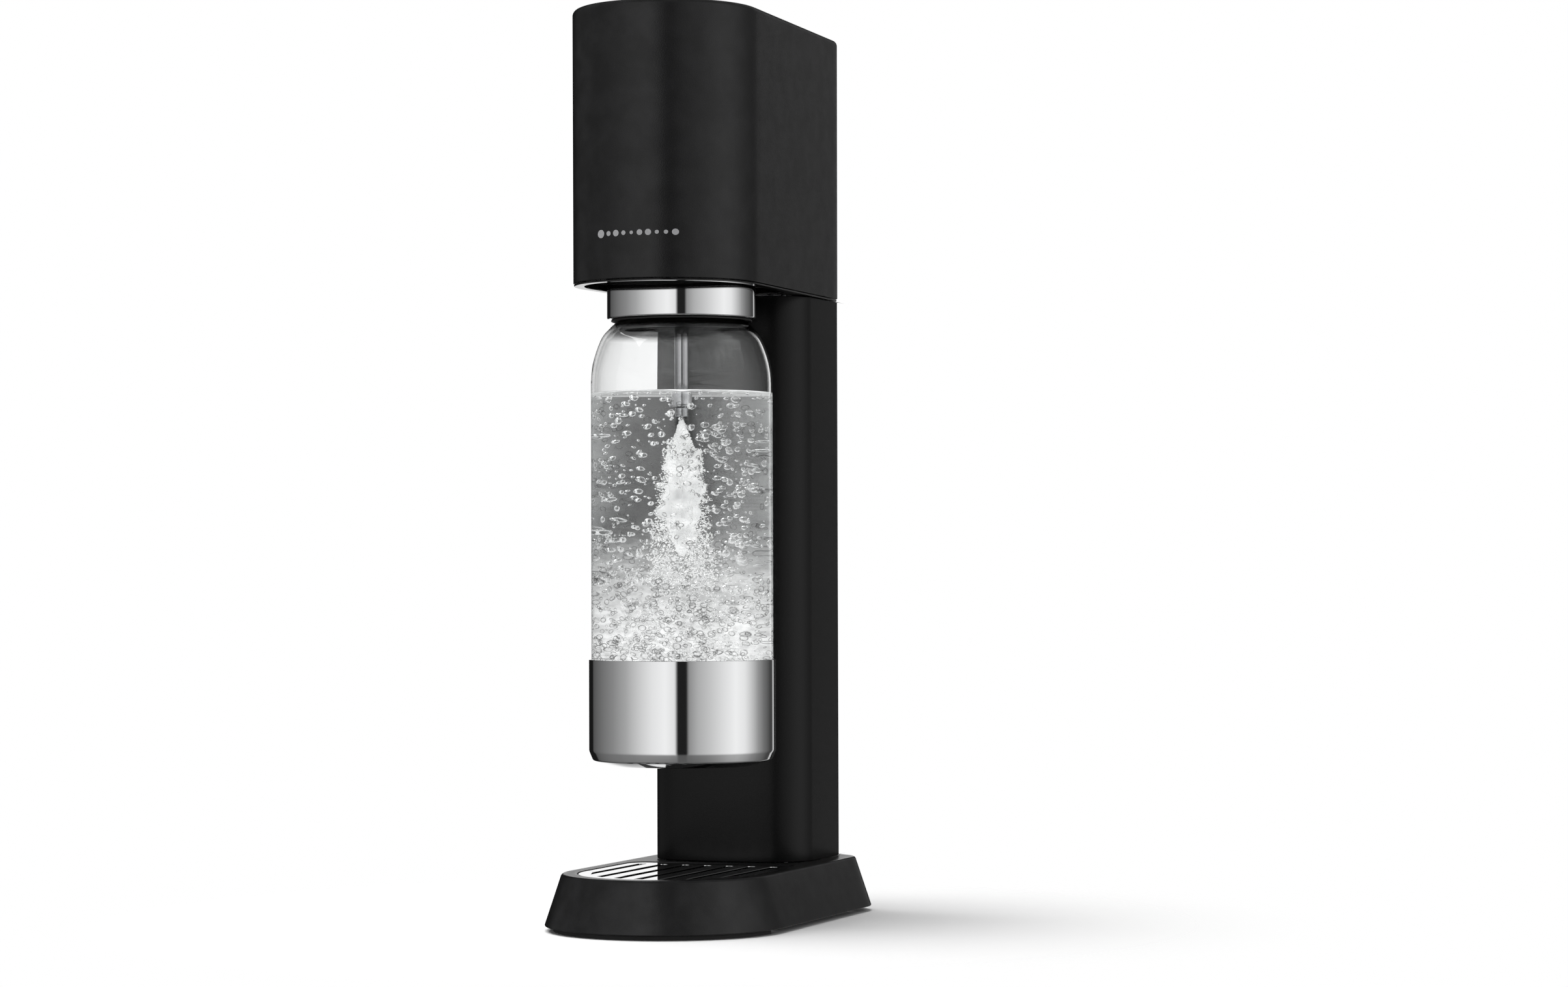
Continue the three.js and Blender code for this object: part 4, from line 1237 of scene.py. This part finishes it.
# %% Swarms
SWARM = swarm_tree()
bubble_reach = bottle_high.x - WALL - 1.6 * MM
jet_top = tip_low.z - 1.0 * MM
water_foot = bottle_low.z + WALL + 1.5 * MM


def swarm(name, material, **values):
    settings = {key.replace("_", " ").title(): value for key, value in values.items()}
    made = run_tree(add_object(name, bpy.data.meshes.new(name)), SWARM,
                    {**settings, "Material": material})
    made.data.transform(Matrix.Translation((0, AXIS_Y, 0)))
    made.data.shade_smooth()
    return give(made, material, "bottle", "clear_plastic")


def ragged(piece, amount, scale):
    """Pushes a turned body's points in and out, in a fixed random pattern."""
    for vert in piece.data.vertices:
        side = Vector((vert.co.x, vert.co.y - AXIS_Y, 0))
        push = noise.turbulence(vert.co * scale, 3, False) - 0.5
        vert.co += side.normalized() * push * amount * min(1, side.length / (4 * MM))
    return piece


JET = [(0.6, 0), (3.0, 7), (5.4, 16), (7.0, 28), (8.0, 40), (7.4, 52), (4.5, 61), (0, 67)]
jet_profile = [(r * MM, jet_top - drop * MM, 0) for r, drop in smooth_curve(JET, 8)]
# The jet, its swarms and the bottom foam are white by painted glow, an emission in the foam materials.
give(ragged(turned("jet_body", -1 * MM, AXIS_Y, [(0, jet_top)] + jet_profile, 0.3 * MM, smooth=80),
            5 * MM, 120), foam_white_painted_glow, "bottle", "clear_plastic")
# The curtain's painted glow stands for the mass of bubbles low in the bottle.
give(turned("mist_curtain", 0, AXIS_Y, [(36.5 * MM, water_foot), (36.5 * MM, 205 * MM)], 0.2 * MM,
            sides=128), bottle_mist, "bottle", "clear_plastic")
WIDE = {"top_radius": bubble_reach, "bottom_radius": bubble_reach}
FROTH = {"squash": 0.3, "detail": 1, "wobble": 0.4 * MM}
FINE = {**FROTH, "smallest": 0.14 * MM, "largest": 0.45 * MM, "size_power": 2.2}
LOOSE = {**WIDE, "squash": 0.5, "detail": 2}
swarm("jet_core", foam_white_painted_glow, count=7500, seed=11, top=jet_top, bottom=jet_top - 24 * MM,
      top_radius=0.5 * MM, bottom_radius=7.6 * MM, spread_power=0.35, height_power=0.6,
      smallest=0.12 * MM, largest=0.4 * MM, size_power=2.0, **FROTH)
swarm("jet_column", foam_white_painted_glow, count=9000, seed=19, top=jet_top - 14 * MM,
      bottom=jet_top - 78 * MM, top_radius=7.2 * MM, bottom_radius=13.5 * MM, spread_power=0.5,
      height_power=1.25, cluster=0.4, **FINE)
swarm("jet_plume", foam_white_painted_glow, count=6000, seed=23, top=jet_top - 50 * MM, bottom=water_foot,
      top_radius=12 * MM, bottom_radius=bubble_reach, spread_power=0.7, height_power=0.9,
      cluster=0.48, **FINE)
swarm("surface_bubbles", bubble_clear, count=60, seed=29, top=WATER_LEVEL - 1.2 * MM,
      bottom=WATER_LEVEL - 0.9 * MM, spread_power=0.12, height_power=1.0, smallest=0.4 * MM,
      largest=1.1 * MM, size_power=2.0, squash=0.4, detail=2, **WIDE)
swarm("drifting_bubbles", bubble_clear, count=2200, seed=37, top=WATER_LEVEL - 2 * MM,
      bottom=water_foot + 60 * MM, spread_power=0.4, height_power=0.9, smallest=0.4 * MM,
      largest=1.9 * MM, size_power=1.8, cluster=0.5, wobble=0.9 * MM, **LOOSE)
swarm("bottom_bubbles", bubble_outline, count=2500, seed=53, top=water_foot + 90 * MM,
      bottom=water_foot, spread_power=0.4, height_power=0.6, smallest=0.5 * MM, largest=1.8 * MM,
      size_power=1.5, cluster=0.42, wobble=0.8 * MM, **LOOSE)
swarm("drifting_outlines", bubble_outline, count=1300, seed=41, top=WATER_LEVEL - 2 * MM,
      bottom=water_foot + 60 * MM, spread_power=0.35, height_power=0.8, smallest=0.6 * MM,
      largest=1.8 * MM, size_power=1.6, cluster=0.5, wobble=0.9 * MM, **LOOSE)
swarm("bottom_foam", foam_bubble, count=5000, seed=71, top=water_foot + 62 * MM, bottom=water_foot,
      top_radius=bubble_reach * 0.6, bottom_radius=bubble_reach, spread_power=0.55,
      height_power=0.5, smallest=0.3 * MM, largest=1.1 * MM, size_power=1.8, squash=0.5, detail=1,
      cluster=0.3)

# %% [markdown]
# ## Emblem
# The head's front carries a small plain mark, a row of dots like rising bubbles, printed in pale
# grey. Each is a thin disc whose points lie on the head's round nose.

# %% Emblem
emblem_grey = finish("emblem_grey", (0.42, 0.42, 0.43), 0.4, dust=0.0)
EMBLEM_Z = 323 * MM
PRINT = 0.06 * MM


def printed_disc(name, x, z, radius):
    front = []
    for ring_share in (1.0, 0.5, 0.0):
        loop = []
        for px, pz in arc(x, z, max(radius * ring_share, 1e-6), 0, 2 * PI, 40)[:-1]:
            y = head_nose - math.sqrt((head_high.x + PRINT) ** 2 - px ** 2)
            loop.append((px, y, pz))
        front.append(loop)
    back = [(px, y + 2 * PRINT, pz) for px, y, pz in front[0]]
    inner = [(px, y + 2 * PRINT, pz) for px, y, pz in front[-1]]
    made = skin(name, [inner, back] + front, [0] * 5)
    return give(made, emblem_grey, "frame", "satin_black")


printed_disc("emblem_ring", -16.6 * MM, EMBLEM_Z, 1.9 * MM)
for i in range(9):
    size = (1.15 + 0.35 * math.sin(i * 1.7)) * MM
    printed_disc(f"emblem_dot_{i + 1}", (-12.2 + i * 4.0) * MM, EMBLEM_Z, size)

# %% [markdown]
# ## Floor and studio light
# The machine stands on a pale floor in a white studio. Two wide soft boxes stand left and right of
# the camera, and the narrow gap between them is what draws the dark upright line in the polished
# parts. The world's shader paints that studio as brightness round the horizon.

# %% Floor
FLOOR_REACH = 3.0
FADE_START, FADE_END = 0.11, 0.30


def floor_material():
    material = bpy.data.materials.new("floor_white")
    material.use_nodes = True
    tree = material.node_tree
    tree.nodes.clear()
    out = tree.nodes.new("ShaderNodeOutputMaterial")
    away = node(tree, "ShaderNodeVectorMath", {0: object_point(tree)}, operation="LENGTH")
    fade = map_range(tree, away.outputs["Value"], FADE_START, FADE_END,
                     interpolation_type="SMOOTHSTEP")
    matt = node(tree, "ShaderNodeBsdfDiffuse", {"Color": grey(0.9)})
    gone = node(tree, "ShaderNodeBsdfTransparent")
    mix = node(tree, "ShaderNodeMixShader", {0: fade, 1: matt.outputs[0],
                                             2: gone.outputs[0]})
    tree.links.new(mix.outputs[0], out.inputs[0])
    return material


floor = mesh_object("floor", [(-FLOOR_REACH, -FLOOR_REACH, 0), (FLOOR_REACH, -FLOOR_REACH, 0),
                              (FLOOR_REACH, FLOOR_REACH, 0), (-FLOOR_REACH, FLOOR_REACH, 0)],
                    [(0, 1, 2, 3)])
floor.data.materials.append(floor_material())
floor.visible_glossy = False  # the polished parts mirror the studio, not the floor


# %% Studio round the horizon
# (degrees round from the camera's side, brightness); positive is to the camera's right.
STUDIO = [(-180, 1.0), (-174, 1.0), (-172, 0.01), (-144, 0.01), (-141, 0.09), (-121, 0.16),
          (-94, 0.27), (-73, 0.42), (-54, 0.66), (-37, 0.87), (-20, 1.0), (-8, 0.86), (-5, 0.015),
          (6.5, 0.015), (9, 0.30), (20, 0.48), (36, 0.64), (53, 0.83), (70, 1.0), (84, 0.90),
          (96, 0.62), (108, 0.34), (120, 0.19), (139, 0.06), (147, 0.06), (149, 0.6), (153, 0.6),
          (155, 0.01), (172, 0.01), (174, 1.0), (180, 1.0)]


def studio_world():
    world = bpy.data.worlds.new("studio")
    scene.world = world
    world.use_nodes = True
    tree = world.node_tree
    tree.nodes.clear()
    out = tree.nodes.new("ShaderNodeOutputWorld")
    where = node(tree, "ShaderNodeTexCoord")
    turn = node(tree, "ShaderNodeMapping", {"Vector": where.outputs["Generated"],
                                            "Rotation": (0, 0, -VIEW_TURN)})
    split = node(tree, "ShaderNodeSeparateXYZ", {0: turn.outputs[0]})
    toward = math_node(tree, "MULTIPLY", split.outputs[1], -1.0)
    angle = math_node(tree, "ARCTAN2", split.outputs[0], toward)
    ramp = node(tree, "ShaderNodeValToRGB", {0: map_range(tree, angle, -PI, PI)})
    stops = ramp.color_ramp.elements
    while len(stops) < len(STUDIO):
        stops.new(0.5)
    for stop, (degrees, value) in zip(stops, STUDIO):
        stop.position = (degrees + 180) / 360
        stop.color = grey(value)
    # Above and below the soft boxes the studio is dim.
    high = map_range(tree, split.outputs[2], 0.55, 0.85)
    upper = mix_colors(tree, high, ramp.outputs[0], grey(0.25))
    low = map_range(tree, split.outputs[2], -0.3, -0.8)
    whole = mix_colors(tree, low, upper, grey(0.12))
    # The backdrop is white where it is seen past the machine or straight through the bottle.
    rays = node(tree, "ShaderNodeLightPath")
    ahead = map_range(tree, split.outputs[1], 0.80, 0.88)
    through = math_node(tree, "MULTIPLY", rays.outputs["Is Transmission Ray"], ahead)
    straight = math_node(tree, "MAXIMUM", rays.outputs["Is Camera Ray"], through)
    seen = mix_colors(tree, straight, whole, grey(1))
    shine = node(tree, "ShaderNodeBackground", {"Color": seen, "Strength": 1.0})
    tree.links.new(shine.outputs[0], out.inputs[0])


studio_world()


# %% Overhead light
def soft_light(name, spot, aim, size, power):
    lamp = bpy.data.lights.new(name, "AREA")
    lamp.shape = "SQUARE"
    lamp.size = size
    lamp.energy = power
    made = add_object(name, lamp)
    made.location = spot
    made.rotation_euler = (Vector(aim) - Vector(spot)).to_track_quat("-Z", "Y").to_euler()
    made.visible_glossy = False
    return made


soft_light("overhead", (-0.50, -0.10, 1.6), (0.02, 0.0, 0.0), 1.6, 36)
scene.view_settings.view_transform = "Standard"
